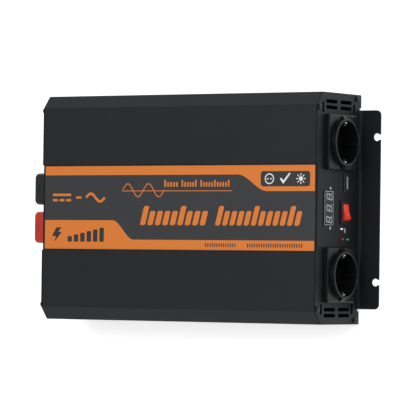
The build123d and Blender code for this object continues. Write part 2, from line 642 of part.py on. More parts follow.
def make_earth_clip(side):
    """Bent spring strip: a bar behind the recess floor and an arm up each side of the recess."""
    y = side * SOCKET_Y
    under = SOCKET_CHAMBER
    half = CLIP_THICKNESS / 2
    span = 2 * (CLIP_REACH + half)
    strip = centred_block(under - CLIP_THICKNESS, under, y, span, SOCKET_HEIGHT, CLIP_WIDTH)
    low = SOCKET_HEIGHT - CLIP_WIDTH / 2
    path = [(under - CLIP_THICKNESS, 0.0), (SOCKET_RIM - CLIP_BEND_DROP, 0.0),
            (SOCKET_RIM - CLIP_WAIST_DROP, -CLIP_WAIST), (SOCKET_RIM - CLIP_TIP_DROP, CLIP_SLOT_GAP)]
    for arm_side in (1, -1):
        outer = [(x, y + arm_side * (CLIP_REACH + bend + half)) for x, bend in path]
        inner = [(x, y + arm_side * (CLIP_REACH + bend - half)) for x, bend in reversed(path)]
        strip += extrude(Plane.XY.offset(low) * polygon(outer + inner), amount=CLIP_WIDTH)
    return strip


def make_socket_back(side):
    """Cap that closes the socket's rear chamber, with a plug that seats inside it."""
    y = side * SOCKET_Y
    cap = x_rod(COLLAR_RADIUS, SOCKET_BACK - BACK_CAP_THICKNESS, SOCKET_BACK, y, SOCKET_HEIGHT)
    return cap + x_rod(RECESS_WELL_RADIUS - SNAP_GAP, SOCKET_BACK, SOCKET_BACK + BACK_PLUG, y, SOCKET_HEIGHT)


# ---- rocker switch ----
def make_switch_body():
    """Switch housing: bezel on the panel, box behind it, open well for the rocker, pivot bores."""
    y = SWITCH_Y
    z = SWITCH_Z
    top = HALF_LENGTH + SWITCH_BEZEL_HEIGHT
    bezel = x_plate(*SWITCH_BEZEL, SWITCH_CORNER, HALF_LENGTH, top, y, z)
    bezel = chamfer(bezel.edges().group_by(Axis.X)[-1], SWITCH_CORNER / 2)
    body = bezel + x_plate(*SWITCH_BODY, SWITCH_CORNER / 2, SWITCH_BACK, HALF_LENGTH, y, z)
    well_low = ROCKER_PIVOT_X - ROCKER_SKIRT - WELL_FLOOR_GAP
    well_wide = 2 * (ROCKER_RADIUS + ROCKER_GAP)
    body -= centred_block(well_low, top + CUT, y, well_wide, z, ROCKER_WIDTH + 2 * ROCKER_GAP)
    body -= z_rod(PIVOT_PIN_RADIUS + PIVOT_PIN_GAP, z - SWITCH_BODY[1], z + SWITCH_BODY[1], ROCKER_PIVOT_X, y)
    latch_x = SHELL_END - SNAP_GAP
    for side in (1, -1):
        latch_y = y + side * (SWITCH_BODY[0] / 2 + LATCH_OFFSET)
        body += centred_block(latch_x - LATCH_SIZE[0], latch_x, latch_y, LATCH_SIZE[1], z, LATCH_SIZE[2])
    return body


def make_rocker():
    """Two-position rocker, tilted to its rest position with the -Y end standing out."""
    tip = math.radians(ROCKER_TIP_ANGLE)
    heel = math.radians(ROCKER_HEEL_ANGLE)
    tip_x, tip_y = ROCKER_RADIUS * math.sin(tip), ROCKER_RADIUS * math.cos(tip)
    heel_x, heel_y = ROCKER_RADIUS * math.sin(heel), ROCKER_RADIUS * math.cos(heel)
    back = Polyline((heel_x, heel_y), (heel_x, -heel_y))
    left = ThreePointArc((heel_x, -heel_y), (0, -ROCKER_RADIUS), (tip_x, -tip_y))
    face = ThreePointArc((tip_x, -tip_y), (tip_x - ROCKER_DISH, 0), (tip_x, tip_y))
    right = ThreePointArc((tip_x, tip_y), (0, ROCKER_RADIUS), (heel_x, heel_y))
    profile = make_face(Wire([*back.edges(), *left.edges(), *face.edges(), *right.edges()]))
    rocker = extrude(profile, amount=ROCKER_WIDTH / 2, both=True)
    tips = rocker.edges().filter_by(Axis.Z).filter_by(lambda e: e.center().X > 0.9 * tip_x)
    rocker = fillet(tips, ROCKER_TIP_ROUND)
    pin = SWITCH_BODY[1] / 2 - PIVOT_PIN_END
    rocker += z_rod(PIVOT_PIN_RADIUS, -pin, pin, 0, 0)
    return Pos(ROCKER_PIVOT_X, SWITCH_Y, SWITCH_Z) * Rot(0, 0, ROCKER_TILT) * rocker


def make_switch_tabs():
    """Three flat terminals at the back of the switch."""
    long, thick, wide = SWITCH_TAB
    back = SWITCH_BACK
    ys = [SWITCH_Y + i * SWITCH_TAB_PITCH for i in (-1, 0, 1)]
    return group([centred_block(back - long, back, y, thick, SWITCH_Z, wide) for y in ys])


# ---- display, lamps, USB port, front board ----
def display_screw_places():
    """Y of the two small screws beside the display."""
    return [DISPLAY_Y + DISPLAY_SCREW_OFFSET, DISPLAY_Y - DISPLAY_SCREW_OFFSET]


def make_display_bezel():
    """Thin frame round the display window, with a rim that drops into the panel's cut-out."""
    place = (DISPLAY_Y, DISPLAY_Z)
    front = HALF_LENGTH + DISPLAY_BEZEL_HEIGHT
    frame = x_plate(*DISPLAY_SIZE, 1.5 * DISPLAY_RIM, HALF_LENGTH, front, *place)
    frame += x_plate(*DISPLAY_WINDOW, SMALL_CORNER, SHELL_END, HALF_LENGTH, *place)
    opening = [size - 2 * DISPLAY_RIM for size in DISPLAY_WINDOW]
    return frame - x_plate(*opening, SMALL_CORNER, SHELL_END - CUT, front + CUT, *place)


def make_display_module():
    """Three-digit display block behind the bezel, with its pins to the front board."""
    back = SHELL_END - DISPLAY_DEPTH
    size = [side - 2 * (DISPLAY_RIM + DISPLAY_SIDE_GAP) for side in DISPLAY_WINDOW]
    module = [x_plate(*size, SMALL_CORNER, back, HALF_LENGTH - DISPLAY_SIDE_GAP, DISPLAY_Y, DISPLAY_Z)]
    for i in range(DISPLAY_PIN_COUNT):
        y = DISPLAY_Y + (i - (DISPLAY_PIN_COUNT - 1) / 2) * DISPLAY_PIN_PITCH
        for side in (1, -1):
            module.append(x_rod(DISPLAY_PIN_RADIUS, BOARD_FACE, back, y, DISPLAY_Z + side * DISPLAY_PIN_ROW))
    return group(module)


def make_display_screws():
    """Two small screws that hold the front board's spacers."""
    screws = []
    radius, height = DISPLAY_SCREW_HEAD
    tip = HALF_LENGTH - DISPLAY_SCREW_LENGTH
    socket_floor = HALF_LENGTH + height / 2
    for y in display_screw_places():
        head = x_rod(radius, HALF_LENGTH, HALF_LENGTH + height, y, DISPLAY_SCREW_Z)
        head = fillet(head.edges().group_by(Axis.X)[-1], height / 2)
        screw = head + x_rod(DISPLAY_SCREW_RADIUS, tip, HALF_LENGTH, y, DISPLAY_SCREW_Z)
        key = x_rod(DISPLAY_SCREW_SOCKET, socket_floor, socket_floor + height, y, DISPLAY_SCREW_Z)
        screws.append(screw - key)
    return group(screws)


def make_board_spacers():
    """Hexagonal spacers between the front panel and the front board."""
    spacers = []
    bore_end = HALF_LENGTH - DISPLAY_SCREW_LENGTH - CUT
    for y in display_screw_places():
        face = Plane.YZ.offset(BOARD_FACE) * Pos(y, DISPLAY_SCREW_Z) * RegularPolygon(SPACER_RADIUS, 6)
        spacer = extrude(face, amount=SHELL_END - BOARD_FACE)
        spacers.append(spacer - x_rod(SPACER_BORE, bore_end, SHELL_END + CUT, y, DISPLAY_SCREW_Z))
    return group(spacers)


def make_front_board():
    """Upright circuit board behind the front panel, notched round the switch."""
    board = centred_block(BOARD_FACE - BOARD_THICKNESS, BOARD_FACE, 0, FRONT_BOARD_WIDTH,
                          sum(FRONT_BOARD_Z) / 2, FRONT_BOARD_Z[1] - FRONT_BOARD_Z[0])
    wide = SWITCH_BODY[0] / 2 + BOARD_NOTCH_GAP
    tall = SWITCH_BODY[1] / 2 + BOARD_NOTCH_GAP
    back = BOARD_FACE - BOARD_THICKNESS - CUT
    return board - block(back, BOARD_FACE + CUT, SWITCH_Y - wide, SWITCH_Y + wide,
                         FRONT_BOARD_Z[0] - CUT, SWITCH_Z + tall)


def make_usb_shell():
    """Folded metal sleeve of the USB port, standing on the front board."""
    front = HALF_LENGTH + USB_PROUD
    wide, tall = USB_SIZE
    shell = x_plate(wide, tall, SMALL_CORNER, BOARD_FACE, front, USB_Y, USB_Z)
    return shell - x_plate(wide - 2 * USB_WALL, tall - 2 * USB_WALL, SMALL_CORNER - USB_WALL / 2,
                           BOARD_FACE + USB_BACK[0], front + CUT, USB_Y, USB_Z)


def make_usb_tongue():
    """Plastic tongue and back block inside the USB sleeve."""
    wide = USB_SIZE[0] - 2 * USB_WALL
    tall = USB_SIZE[1] - 2 * USB_WALL
    low = USB_Z - tall / 2
    back, front = (BOARD_FACE + reach for reach in USB_BACK)
    side_gap, tongue_gap = USB_TONGUE_GAPS
    body = centred_block(back, front, USB_Y, wide - 2 * side_gap, USB_Z, tall)
    half = wide / 2 - tongue_gap
    return body + block(front, HALF_LENGTH - USB_TONGUE_SETBACK, USB_Y - half, USB_Y + half,
                        low + USB_TONGUE_Z[0], low + USB_TONGUE_Z[1])


def make_usb_contacts():
    """Four flat contacts on the USB tongue."""
    low = USB_Z - USB_SIZE[1] / 2 + USB_WALL + USB_TONGUE_Z[1]
    wide, thick = USB_CONTACT
    return group([centred_block(BOARD_FACE + USB_BACK[1], HALF_LENGTH - USB_CONTACT_SETBACK, USB_Y + dy, wide,
                                low + thick / 2, thick) for dy in USB_CONTACT_Y])


def make_lamp(z):
    """Indicator lamp: domed lens, collar behind the panel and two legs to the front board."""
    dome = HALF_LENGTH + LAMP_PROUD - LAMP_RADIUS
    collar_back, collar_front = (SHELL_END - depth for depth in LAMP_COLLAR_X)
    lens = x_rod(LAMP_RADIUS, collar_back, dome, LAMP_Y, z) + Pos(dome, LAMP_Y, z) * Sphere(LAMP_RADIUS)
    lens += x_rod(LAMP_RADIUS + LAMP_COLLAR, collar_back, collar_front, LAMP_Y, z)
    for side in (1, -1):
        lens += x_rod(LAMP_LEG_RADIUS, BOARD_FACE, collar_back, LAMP_Y + side * LAMP_LEG_PITCH / 2, z)
    return lens


# ---- fans ----
def fan_places():
    """Y and Z of the two fan centres."""
    return [(side * FAN_Y, FAN_Z) for side in (1, -1)]


def fan_hole_places(y, z):
    """Y and Z of one fan's four screw holes."""
    half = FAN_HOLE_SPACING / 2
    return [(y + dy, z + dz) for dy in (half, -half) for dz in (half, -half)]


def make_fan_frame(side):
    """Square fan housing with its bore, motor carrier, struts and pivot shaft."""
    y, z = side * FAN_Y, FAN_Z
    back = FAN_FRONT + FAN_DEPTH
    frame = x_plate(FAN_SIZE, FAN_SIZE, FAN_CORNER, FAN_FRONT, back, y, z)
    frame -= x_rod(FAN_BORE, FAN_FRONT - CUT, back + CUT, y, z)
    pocket_x = (FAN_FRONT + FAN_FLANGE, back - FAN_FLANGE)
    corner = (FAN_POCKET + FAN_SIZE / 2 + CUT) / 2
    size = FAN_SIZE / 2 + CUT - FAN_POCKET
    barrel = x_rod(FAN_SIZE / 2 - FAN_BARREL_INSET, FAN_FRONT, back, y, z)
    for dy in (corner, -corner):
        for dz in (corner, -corner):
            frame -= centred_block(*pocket_x, y + dy, size, z + dz, size) - barrel
    for hole_y, hole_z in fan_hole_places(y, z):
        frame -= x_rod(FAN_HOLE_RADIUS, FAN_FRONT - CUT, back + CUT, hole_y, hole_z)
    carrier_front = back - FAN_CARRIER
    carrier = x_rod(FAN_HUB_RADIUS, carrier_front, back, y, z)
    half = FAN_STRUT_WIDTH / 2
    strut = block(carrier_front, back, -half, half, FAN_HUB_RADIUS - CUT, FAN_BORE + FUSE_IN)
    for i in range(FAN_STRUTS):
        carrier += Pos(0, y, z) * Rot(30 + 360 / FAN_STRUTS * i, 0, 0) * strut
    return frame + carrier + x_rod(FAN_SHAFT_RADIUS, FAN_FRONT + FAN_SHAFT_INSET, carrier_front, y, z)


def make_fan_rotor(side):
    """Fan hub with its twisted blades, bored for the shaft."""
    front = FAN_FRONT + FAN_ROTOR_INSET
    back = FAN_FRONT + FAN_DEPTH - FAN_CARRIER - FAN_ROTOR_GAP
    hub = x_rod(FAN_HUB_RADIUS, front, back, 0, 0)
    hub = fillet(hub.edges().group_by(Axis.X)[0], FAN_BLADE_ROOT)
    root = FAN_HUB_RADIUS - FAN_BLADE_ROOT
    tip = FAN_BLADE_RADIUS - FAN_TIP_LIFT
    wide = FAN_BLADE_WIDTH
    low = polygon([(-1.6 * wide, root), (-0.6 * wide, root), (0.1 * wide, tip), (-0.9 * wide, tip)])
    high = Rot(0, 0, -FAN_BLADE_TWIST) * low
    blade = loft([Plane.YZ.offset(front + CUT) * low, Plane.YZ.offset(back - CUT) * high])
    for i in range(FAN_BLADES):
        hub += Rot(360 / FAN_BLADES * i, 0, 0) * blade
    hub -= x_rod(FAN_SHAFT_RADIUS + FAN_SHAFT_GAP, front + FAN_HUB_CAP, back + CUT, 0, 0)
    return Pos(0, side * FAN_Y, FAN_Z) * hub


def make_fan_guards():
    """Finger guards on the rear panel: square-section rings joined by cross bars with eyes at the screws."""
    guards = []
    bar_face = -HALF_LENGTH - GUARD_EYE
    ring_face = bar_face - GUARD_RING_RISE
    reach = FAN_HOLE_SPACING / 2 * math.sqrt(2) - FAN_HOLE_RADIUS - GUARD_WIRE / 2
    bar = block(bar_face, -HALF_LENGTH, -GUARD_WIRE, GUARD_WIRE, -reach, reach)
    for y, z in fan_places():
        guard = Part()
        for hole_y, hole_z in fan_hole_places(y, z):
            guard += x_rod(GUARD_EYE_RADIUS, bar_face, -HALF_LENGTH, hole_y, hole_z)
        for angle in (45, 135):
            guard += Pos(0, y, z) * Rot(angle, 0, 0) * bar
        for radius in GUARD_RINGS:
            ring = x_rod(radius + GUARD_WIRE, ring_face, ring_face + 2 * GUARD_WIRE, y, z)
            guard += ring - x_rod(radius - GUARD_WIRE, ring_face - CUT, ring_face + 4 * GUARD_WIRE, y, z)
        for hole_y, hole_z in fan_hole_places(y, z):
            guard -= x_rod(FAN_HOLE_RADIUS, ring_face - CUT, -HALF_LENGTH + CUT, hole_y, hole_z)
        guards.append(guard)
    return group(guards)


def make_fan_screws():
    """Pan-head screws through guard, panel and fan frame."""
    screws = []
    radius, height = FAN_SCREW_HEAD
    seat = -HALF_LENGTH - GUARD_EYE
    for y, z in fan_places():
        for hole_y, hole_z in fan_hole_places(y, z):
            head = x_rod(radius, seat - height, seat, hole_y, hole_z)
            head = fillet(head.edges().group_by(Axis.X)[0], HEAD_ROUND * height)
            screw = head + x_rod(FAN_SCREW_RADIUS, seat, FAN_FRONT + FAN_SCREW_GRIP, hole_y, hole_z)
            for wide, tall in ((radius, CROSS_SLOT), (CROSS_SLOT, radius)):
                screw -= centred_block(seat - 2 * height, seat - height / 2, hole_y, wide, hole_z, tall)
            screws.append(screw)
    return group(screws)


# ---- cable terminals ----
def make_terminal_insulator():
    """Moulded plate on the rear panel with a boss and a sleeve for each terminal."""
    face = -HALF_LENGTH
    outer = face - INSULATOR_THICKNESS
    body = x_plate(*INSULATOR_SIZE, SOCKET_CORNER, outer, face, 0, TERMINAL_Z)
    sleeve = TERMINAL_BLOCK + 2 * INSULATOR_SLEEVE
    passage = TERMINAL_BLOCK + 2 * TERMINAL_GAP
    boss = [size - 2 * (COVER_WALL + FIT_GAP) for size in COVER_SIZE]
    boss_end = outer - INSULATOR_BOSS
    sleeve_end = face + PANEL_THICKNESS + INSULATOR_TUBE
    for side in (1, -1):
        place = (side * TERMINAL_Y, TERMINAL_Z)
        body += x_plate(*boss, COVER_CORNER - COVER_WALL, boss_end, outer, *place)
        body += x_plate(sleeve, sleeve, SMALL_CORNER, face, sleeve_end, *place)
        body -= x_plate(passage, passage, SMALL_CORNER, boss_end - CUT, sleeve_end + CUT, *place)
    return body


def make_terminal(side):
    """Brass block through the insulator: cable bore at the outer end, two tapped clamp-screw holes."""
    y = side * TERMINAL_Y
    body = x_plate(TERMINAL_BLOCK, TERMINAL_BLOCK, TERMINAL_CORNER, BLOCK_END, BLOCK_INNER, y, TERMINAL_Z)
    body = chamfer(body.edges().group_by(Axis.X)[0], TERMINAL_CORNER / 2)
    body -= x_rod(CABLE_BORE_RADIUS, BLOCK_END - CUT, BLOCK_END + CABLE_BORE_DEPTH, y, TERMINAL_Z)
    for x in clamp_hole_places():
        body -= z_rod(CLAMP_HOLE, TERMINAL_Z, TERMINAL_Z + TERMINAL_BLOCK, x, y)
    return body


def clamp_hole_places():
    """X of a terminal's clamp screws, clear of the insulator's boss."""
    return [BLOCK_END + inset for inset in CLAMP_INSETS]


def make_terminal_screws():
    """Hexagon-socket grub screws standing in the tops of the terminal blocks, backed off from the cable."""
    screws = []
    low = TERMINAL_Z + CABLE_BORE_RADIUS + CLAMP_SCREW_GAP
    high = TERMINAL_Z + TERMINAL_BLOCK / 2 + CLAMP_SCREW_PROUD
    for side in (1, -1):
        for x in clamp_hole_places():
            screw = z_rod(CLAMP_HOLE - THREAD_GAP, low, high, x, side * TERMINAL_Y)
            key = Plane.XY.offset(high - CLAMP_SCREW_PROUD) * Pos(x, side * TERMINAL_Y)
            key *= RegularPolygon(CLAMP_KEY_RADIUS, 6)
            screws.append(screw - extrude(key, amount=2 * CLAMP_SCREW_PROUD))
    return group(screws)


def make_terminal_cover(side):
    """Pull-off cap over a terminal, open towards the panel, with a cable hole and a moulded polarity mark."""
    y = side * TERMINAL_Y
    z = TERMINAL_Z
    wide, tall = COVER_SIZE
    open_end = -HALF_LENGTH - INSULATOR_THICKNESS - SNAP_GAP
    outer = -HALF_LENGTH - COVER_REACH
    cap = x_plate(wide, tall, COVER_CORNER, outer, open_end, y, z)
    cap = fillet(cap.edges().group_by(Axis.X)[0], COVER_END_ROUND)
    cap -= x_plate(wide - 2 * COVER_WALL, tall - 2 * COVER_WALL, COVER_CORNER - COVER_WALL,
                   outer + COVER_WALL, open_end + CUT, y, z)
    cap -= x_rod(COVER_HOLE_RADIUS, outer - CUT, outer + COVER_WALL + CUT, y, z)
    long, narrow = MARK_SIZE
    mark_x = outer + MARK_INSET
    mark_low = z + tall / 2 - MARK_DEPTH
    cap -= block(mark_x - narrow / 2, mark_x + narrow / 2, y - long / 2, y + long / 2, mark_low, z + tall)
    if side < 0:
        cap -= block(mark_x - long / 2, mark_x + long / 2, y - narrow / 2, y + narrow / 2, mark_low, z + tall)
    return cap


def make_earth_screw():
    """Earth screw through the rear panel, its head inside."""
    radius, height = EARTH_HEAD
    head = x_rod(radius, -SHELL_END, -SHELL_END + height, 0, EARTH_SCREW_Z)
    return head + x_rod(EARTH_SCREW_RADIUS, -HALF_LENGTH - EARTH_SCREW_REACH, -SHELL_END, 0, EARTH_SCREW_Z)


def make_earth_nuts():
    """Washer and two hexagon nuts on the earth screw."""
    washer_radius, washer_height = EARTH_WASHER
    nut_radius, nut_height = EARTH_NUT
    bore = EARTH_SCREW_RADIUS + THREAD_GAP
    face = -HALF_LENGTH - washer_height
    washer = x_rod(washer_radius, face, -HALF_LENGTH, 0, EARTH_SCREW_Z)
    pieces = [washer - x_rod(bore, face - CUT, -HALF_LENGTH + CUT, 0, EARTH_SCREW_Z)]
    for i in (1, 2):
        outer = face - i * nut_height
        outline = Plane.YZ.offset(outer) * Pos(0, EARTH_SCREW_Z) * RegularPolygon(nut_radius, 6)
        nut = extrude(outline, amount=nut_height)
        pieces.append(nut - x_rod(bore, outer - CUT, outer + nut_height + CUT, 0, EARTH_SCREW_Z))
    return group(pieces)


def make_bus_bar(side):
    """Copper strip from a terminal block down to the main board."""
    y = side * TERMINAL_Y
    thick = BUS_BAR_THICKNESS
    high = TERMINAL_Z - BUS_BAR_DROP
    foot_x = BLOCK_INNER + BUS_BAR_LENGTH
    bar = centred_block(BLOCK_INNER, foot_x, y, BUS_BAR_WIDTH, high - thick / 2, thick)
    bar += centred_block(BLOCK_INNER, BLOCK_INNER + thick, y, BUS_BAR_WIDTH, TERMINAL_Z - thick / 2,
                         2 * BUS_BAR_DROP + thick)
    half = BUS_BAR_WIDTH / 2
    bar += block(foot_x - thick, foot_x, y - half, y + half, BOARD_TOP, high)
    foot_end = foot_x - thick + BUS_BAR_FOOT
    return bar + block(foot_x - thick, foot_end, y - half, y + half, BOARD_TOP, BOARD_TOP + thick)


# ---- electronics ----
def standoff_places():
    """X and Y of the main board's standoffs."""
    x = HALF_LENGTH - BOARD_END_MARGIN - STANDOFF_INSET
    y = INNER_Y - FOOT_WIDTH - STANDOFF_INSET
    return [(px, side * y) for px in (-x, 0, x) for side in (1, -1)]


def transistor_places():
    """X of the power transistors in one row."""
    return [(i - (TRANSISTOR_COUNT - 1) / 2) * TRANSISTOR_PITCH for i in range(TRANSISTOR_COUNT)]


def clamp_screw_places():
    """X of the clamp screws, between neighbouring transistors."""
    xs = transistor_places()
    return [(xs[i] + xs[i + 1]) / 2 for i in range(0, TRANSISTOR_COUNT - 1, 2)]


def make_main_board():
    """Main circuit board on its standoffs."""
    x = HALF_LENGTH - BOARD_END_MARGIN
    y = INNER_Y - BOARD_SIDE_MARGIN
    board = block(-x, x, -y, y, BOARD_Z, BOARD_TOP)
    for px, py in standoff_places():
        board -= z_rod(M3_HOLE + SNAP_GAP, BOARD_Z - CUT, BOARD_TOP + CUT, px, py)
    return board


def make_standoffs():
    """Hexagonal standoffs, pressed on to the base plate, that carry the main board."""
    pieces = []
    for x, y in standoff_places():
        outline = Plane.XY.offset(BASE_THICKNESS) * Pos(x, y) * RegularPolygon(STANDOFF_RADIUS, 6)
        piece = extrude(outline, amount=BOARD_CLEARANCE)
        pieces.append(piece - z_rod(M3_HOLE, BASE_THICKNESS - CUT, BOARD_Z + CUT, x, y))
    return group(pieces)


def make_board_screws():
    """Screws through the main board into the standoffs."""
    screws = []
    high = BOARD_TOP + M3_HEAD_HEIGHT
    for x, y in standoff_places():
        screw = z_rod(M3_HEAD_RADIUS, BOARD_TOP, high, x, y)
        screw += z_rod(M3_RADIUS, BOARD_TOP - BOARD_SCREW_LENGTH, BOARD_TOP, x, y)
        screws.append(screw - z_rod(RECESS_RADIUS, BOARD_TOP + M3_HEAD_HEIGHT / 2, high + CUT, x, y))
    return group(screws)


def make_transistors():
    """Flat power transistors along both side walls, legs down to the board."""
    pieces = []
    wide, deep, tall = TRANSISTOR_BODY
    leg_wide, leg_deep = TRANSISTOR_LEG
    face = TRANSISTOR_BACK - deep
    leg_y = face + TRANSISTOR_LEG_INSET
    for x in transistor_places():
        body = block(x - wide / 2, x + wide / 2, face, TRANSISTOR_BACK, TRANSISTOR_Z, TRANSISTOR_Z + tall)
        for i in (-1, 0, 1):
            leg_x = x + i * TRANSISTOR_LEG_PITCH - leg_wide / 2
            body += block(leg_x, leg_x + leg_wide, leg_y, leg_y + leg_deep, BOARD_TOP, TRANSISTOR_Z)
        pieces += both_sides(body)
    return group(pieces)


def make_thermal_pads():
    """Insulating pads between the transistors and the shell."""
    pieces = []
    half = TRANSISTOR_BODY[0] / 2 + PAD_MARGIN
    low = TRANSISTOR_Z - PAD_MARGIN
    high = TRANSISTOR_Z + TRANSISTOR_BODY[2] + PAD_MARGIN
    for x in transistor_places():
        pieces += both_sides(block(x - half, x + half, TRANSISTOR_BACK, INNER_Y, low, high))
    return group(pieces)


def make_clamp_bars():
    """Steel bars pressing each row of transistors against the shell."""
    xs = transistor_places()
    half = BAR_HEIGHT / 2
    bar = block(xs[0] - BAR_OVERHANG, xs[-1] + BAR_OVERHANG, CLAMP_BAR_INNER, CLAMP_BAR_OUTER,
                CLAMP_Z - half, CLAMP_Z + half)
    for x in clamp_screw_places():
        bar -= y_rod(M3_HOLE + SNAP_GAP, CLAMP_BAR_INNER - CUT, CLAMP_BAR_OUTER + CUT, x, CLAMP_Z)
    return group(both_sides(bar))


def make_clamp_screws():
    """Screws through the clamp bars into blind holes in the shell's walls."""
    screws = []
    for x in clamp_screw_places():
        screw = y_rod(M3_HEAD_RADIUS, CLAMP_BAR_INNER - M3_HEAD_HEIGHT, CLAMP_BAR_INNER, x, CLAMP_Z)
        screw += y_rod(M3_RADIUS, CLAMP_BAR_INNER, INNER_Y + CLAMP_SCREW_GRIP, x, CLAMP_Z)
        screws += both_sides(screw)
    return group(screws)


def make_transformer_cores():
    """Ferrite cores: centre leg, two outer legs and the yokes."""
    wide, deep, tall = CORE_SIZE
    low = BOARD_TOP + CORE_YOKE
    high = BOARD_TOP + tall - CORE_YOKE
    window = wide / 2 - CORE_LEG
    pieces = []
    for x in TRANSFORMER_X:
        core = block(x - wide / 2, x + wide / 2, TRANSFORMER_Y - deep / 2, TRANSFORMER_Y + deep / 2,
                     BOARD_TOP, BOARD_TOP + tall)
        for side in (1, -1):
            middle = x + side * wide / 4
            core -= block(middle - window / 2, middle + window / 2,
                          TRANSFORMER_Y - deep, TRANSFORMER_Y + deep, low, high)
        pieces.append(core)
    return group(pieces)


def make_transformer_windings():
    """Taped windings round the centre legs."""
    wide, deep, tall = CORE_SIZE
    low = BOARD_TOP + CORE_YOKE + WINDING_GAP
    high = BOARD_TOP + tall - CORE_YOKE - WINDING_GAP
    inner_x = CORE_LEG / 2 + WINDING_GAP
    inner_y = deep / 2 + WINDING_GAP
    build = wide / 2 - CORE_LEG - 2 * WINDING_GAP
    pieces = []
    for x in TRANSFORMER_X:
        place = Plane.XY.offset(low) * Pos(x, TRANSFORMER_Y)
        ring = place * RectangleRounded(2 * (inner_x + build), 2 * (inner_y + build), build * WINDING_ROUND)
        ring -= place * Rectangle(2 * inner_x, 2 * inner_y)
        pieces.append(extrude(ring, amount=high - low))
    return group(pieces)


def can(radius, height, x, y):
    """Upright capacitor can on the main board with a rolled top edge."""
    body = z_rod(radius, BOARD_TOP, BOARD_TOP + height, x, y)
    return fillet(body.edges().group_by(Axis.Z)[-1], CAN_ROUND)


def make_input_capacitors():
    """Row of low-voltage capacitors at the cable end."""
    ys = [(i - (INPUT_CAN_COUNT - 1) / 2) * INPUT_CAN_PITCH for i in range(INPUT_CAN_COUNT)]
    return group([can(*INPUT_CAN, INPUT_CAN_X, y) for y in ys])


def make_output_capacitors():
    """Two high-voltage capacitors at the socket end."""
    return group([can(*OUTPUT_CAN, x, OUTPUT_CAN_Y) for x in OUTPUT_CAN_X])


def make_choke_core():
    """Powder ring of the output choke."""
    outer, inner, tall = CHOKE_SIZE
    ring = z_rod(outer, CHOKE_LOW, CHOKE_LOW + tall, CHOKE_X, CHOKE_Y)
    return ring - z_rod(inner, CHOKE_LOW - CUT, CHOKE_LOW + tall + CUT, CHOKE_X, CHOKE_Y)


def make_choke_winding():
    """Turns of thick wire round the choke's ring."""
    outer, inner, tall = CHOKE_SIZE
    hole = (inner - CHOKE_GAP, outer + CHOKE_GAP)
    low = CHOKE_LOW - CHOKE_GAP
    high = CHOKE_LOW + tall + CHOKE_GAP
    turn = block(hole[0] - CHOKE_WIRE, hole[1] + CHOKE_WIRE, -CHOKE_WIRE / 2, CHOKE_WIRE / 2,
                 low - CHOKE_WIRE, high + CHOKE_WIRE)
    turn -= block(*hole, -CHOKE_WIRE, CHOKE_WIRE, low, high)
    centre = Pos(CHOKE_X, CHOKE_Y, 0)
    return group([centre * Rot(0, 0, 360 / CHOKE_TURNS * i) * turn for i in range(CHOKE_TURNS)])


def make_fuses():
    """Blade fuses in a row behind the input capacitors."""
    pieces = []
    thick, wide, tall = FUSE_BODY
    blade_thick, blade_wide, blade_tall = FUSE_BLADE
    low = BOARD_TOP + blade_tall
    for i in range(FUSE_COUNT):
        y = (i - (FUSE_COUNT - 1) / 2) * FUSE_PITCH
        body = centred_block(FUSE_X - thick / 2, FUSE_X + thick / 2, y, wide, low + tall / 2, tall)
        for dy in (-FUSE_BLADE_OFFSET, FUSE_BLADE_OFFSET):
            body += centred_block(FUSE_X - blade_thick / 2, FUSE_X + blade_thick / 2, y + dy, blade_wide,
                                  BOARD_TOP + blade_tall / 2, blade_tall)
        pieces.append(body)
    return group(pieces)


def make_control_board():
    """Small upright control board beside the transformers."""
    face = CONTROL_BOARD_Y + BOARD_THICKNESS
    board = block(*CONTROL_BOARD_X, CONTROL_BOARD_Y, face, BOARD_TOP, BOARD_TOP + CONTROL_BOARD_HEIGHT)
    wide, thick, tall = CHIP_SIZE
    low = BOARD_TOP + CHIP_Z
    middle = sum(CONTROL_BOARD_X) / 2
    for i in range(CHIP_COUNT):
        x = middle + (i - (CHIP_COUNT - 1) / 2) * CHIP_PITCH
        board += block(x - wide / 2, x + wide / 2, face, face + thick, low, low + tall)
    return board


def lead(points, radius):
    """Round lead along straight runs joined by tangent arcs, each as large as its runs allow."""
    radii = []
    for i in range(1, len(points) - 1):
        before = Vector(*points[i]) - Vector(*points[i - 1])
        after = Vector(*points[i + 1]) - Vector(*points[i])
        turn = math.radians(before.get_angle(after))
        radii.append(0.45 * min(before.length, after.length) / math.tan(turn / 2))
    path = FilletPolyline(*points, radius=radii)
    start = Plane(origin=points[0], z_dir=Vector(*points[1]) - Vector(*points[0]))
    return sweep(start * Circle(radius), path=path)


def make_socket_leads():
    """Insulated leads from the main board up to the socket backs."""
    back = SOCKET_BACK - BACK_CAP_THICKNESS
    board_x = HALF_LENGTH - BOARD_END_MARGIN - LEAD_INSET
    leads = []
    for side in (1, -1):
        y = side * SOCKET_Y
        for end in (1, -1):
            z = SOCKET_HEIGHT + end * PIN_SPACING / 2
            foot_y = y + end * LEAD_SPREAD
            points = [(back, y, z), (back - LEAD_EXIT, y, z), (board_x, foot_y, z - LEAD_DROP),
                      (board_x, foot_y, BOARD_TOP)]
            leads.append(lead(points, LEAD_RADIUS))
    return group(leads)


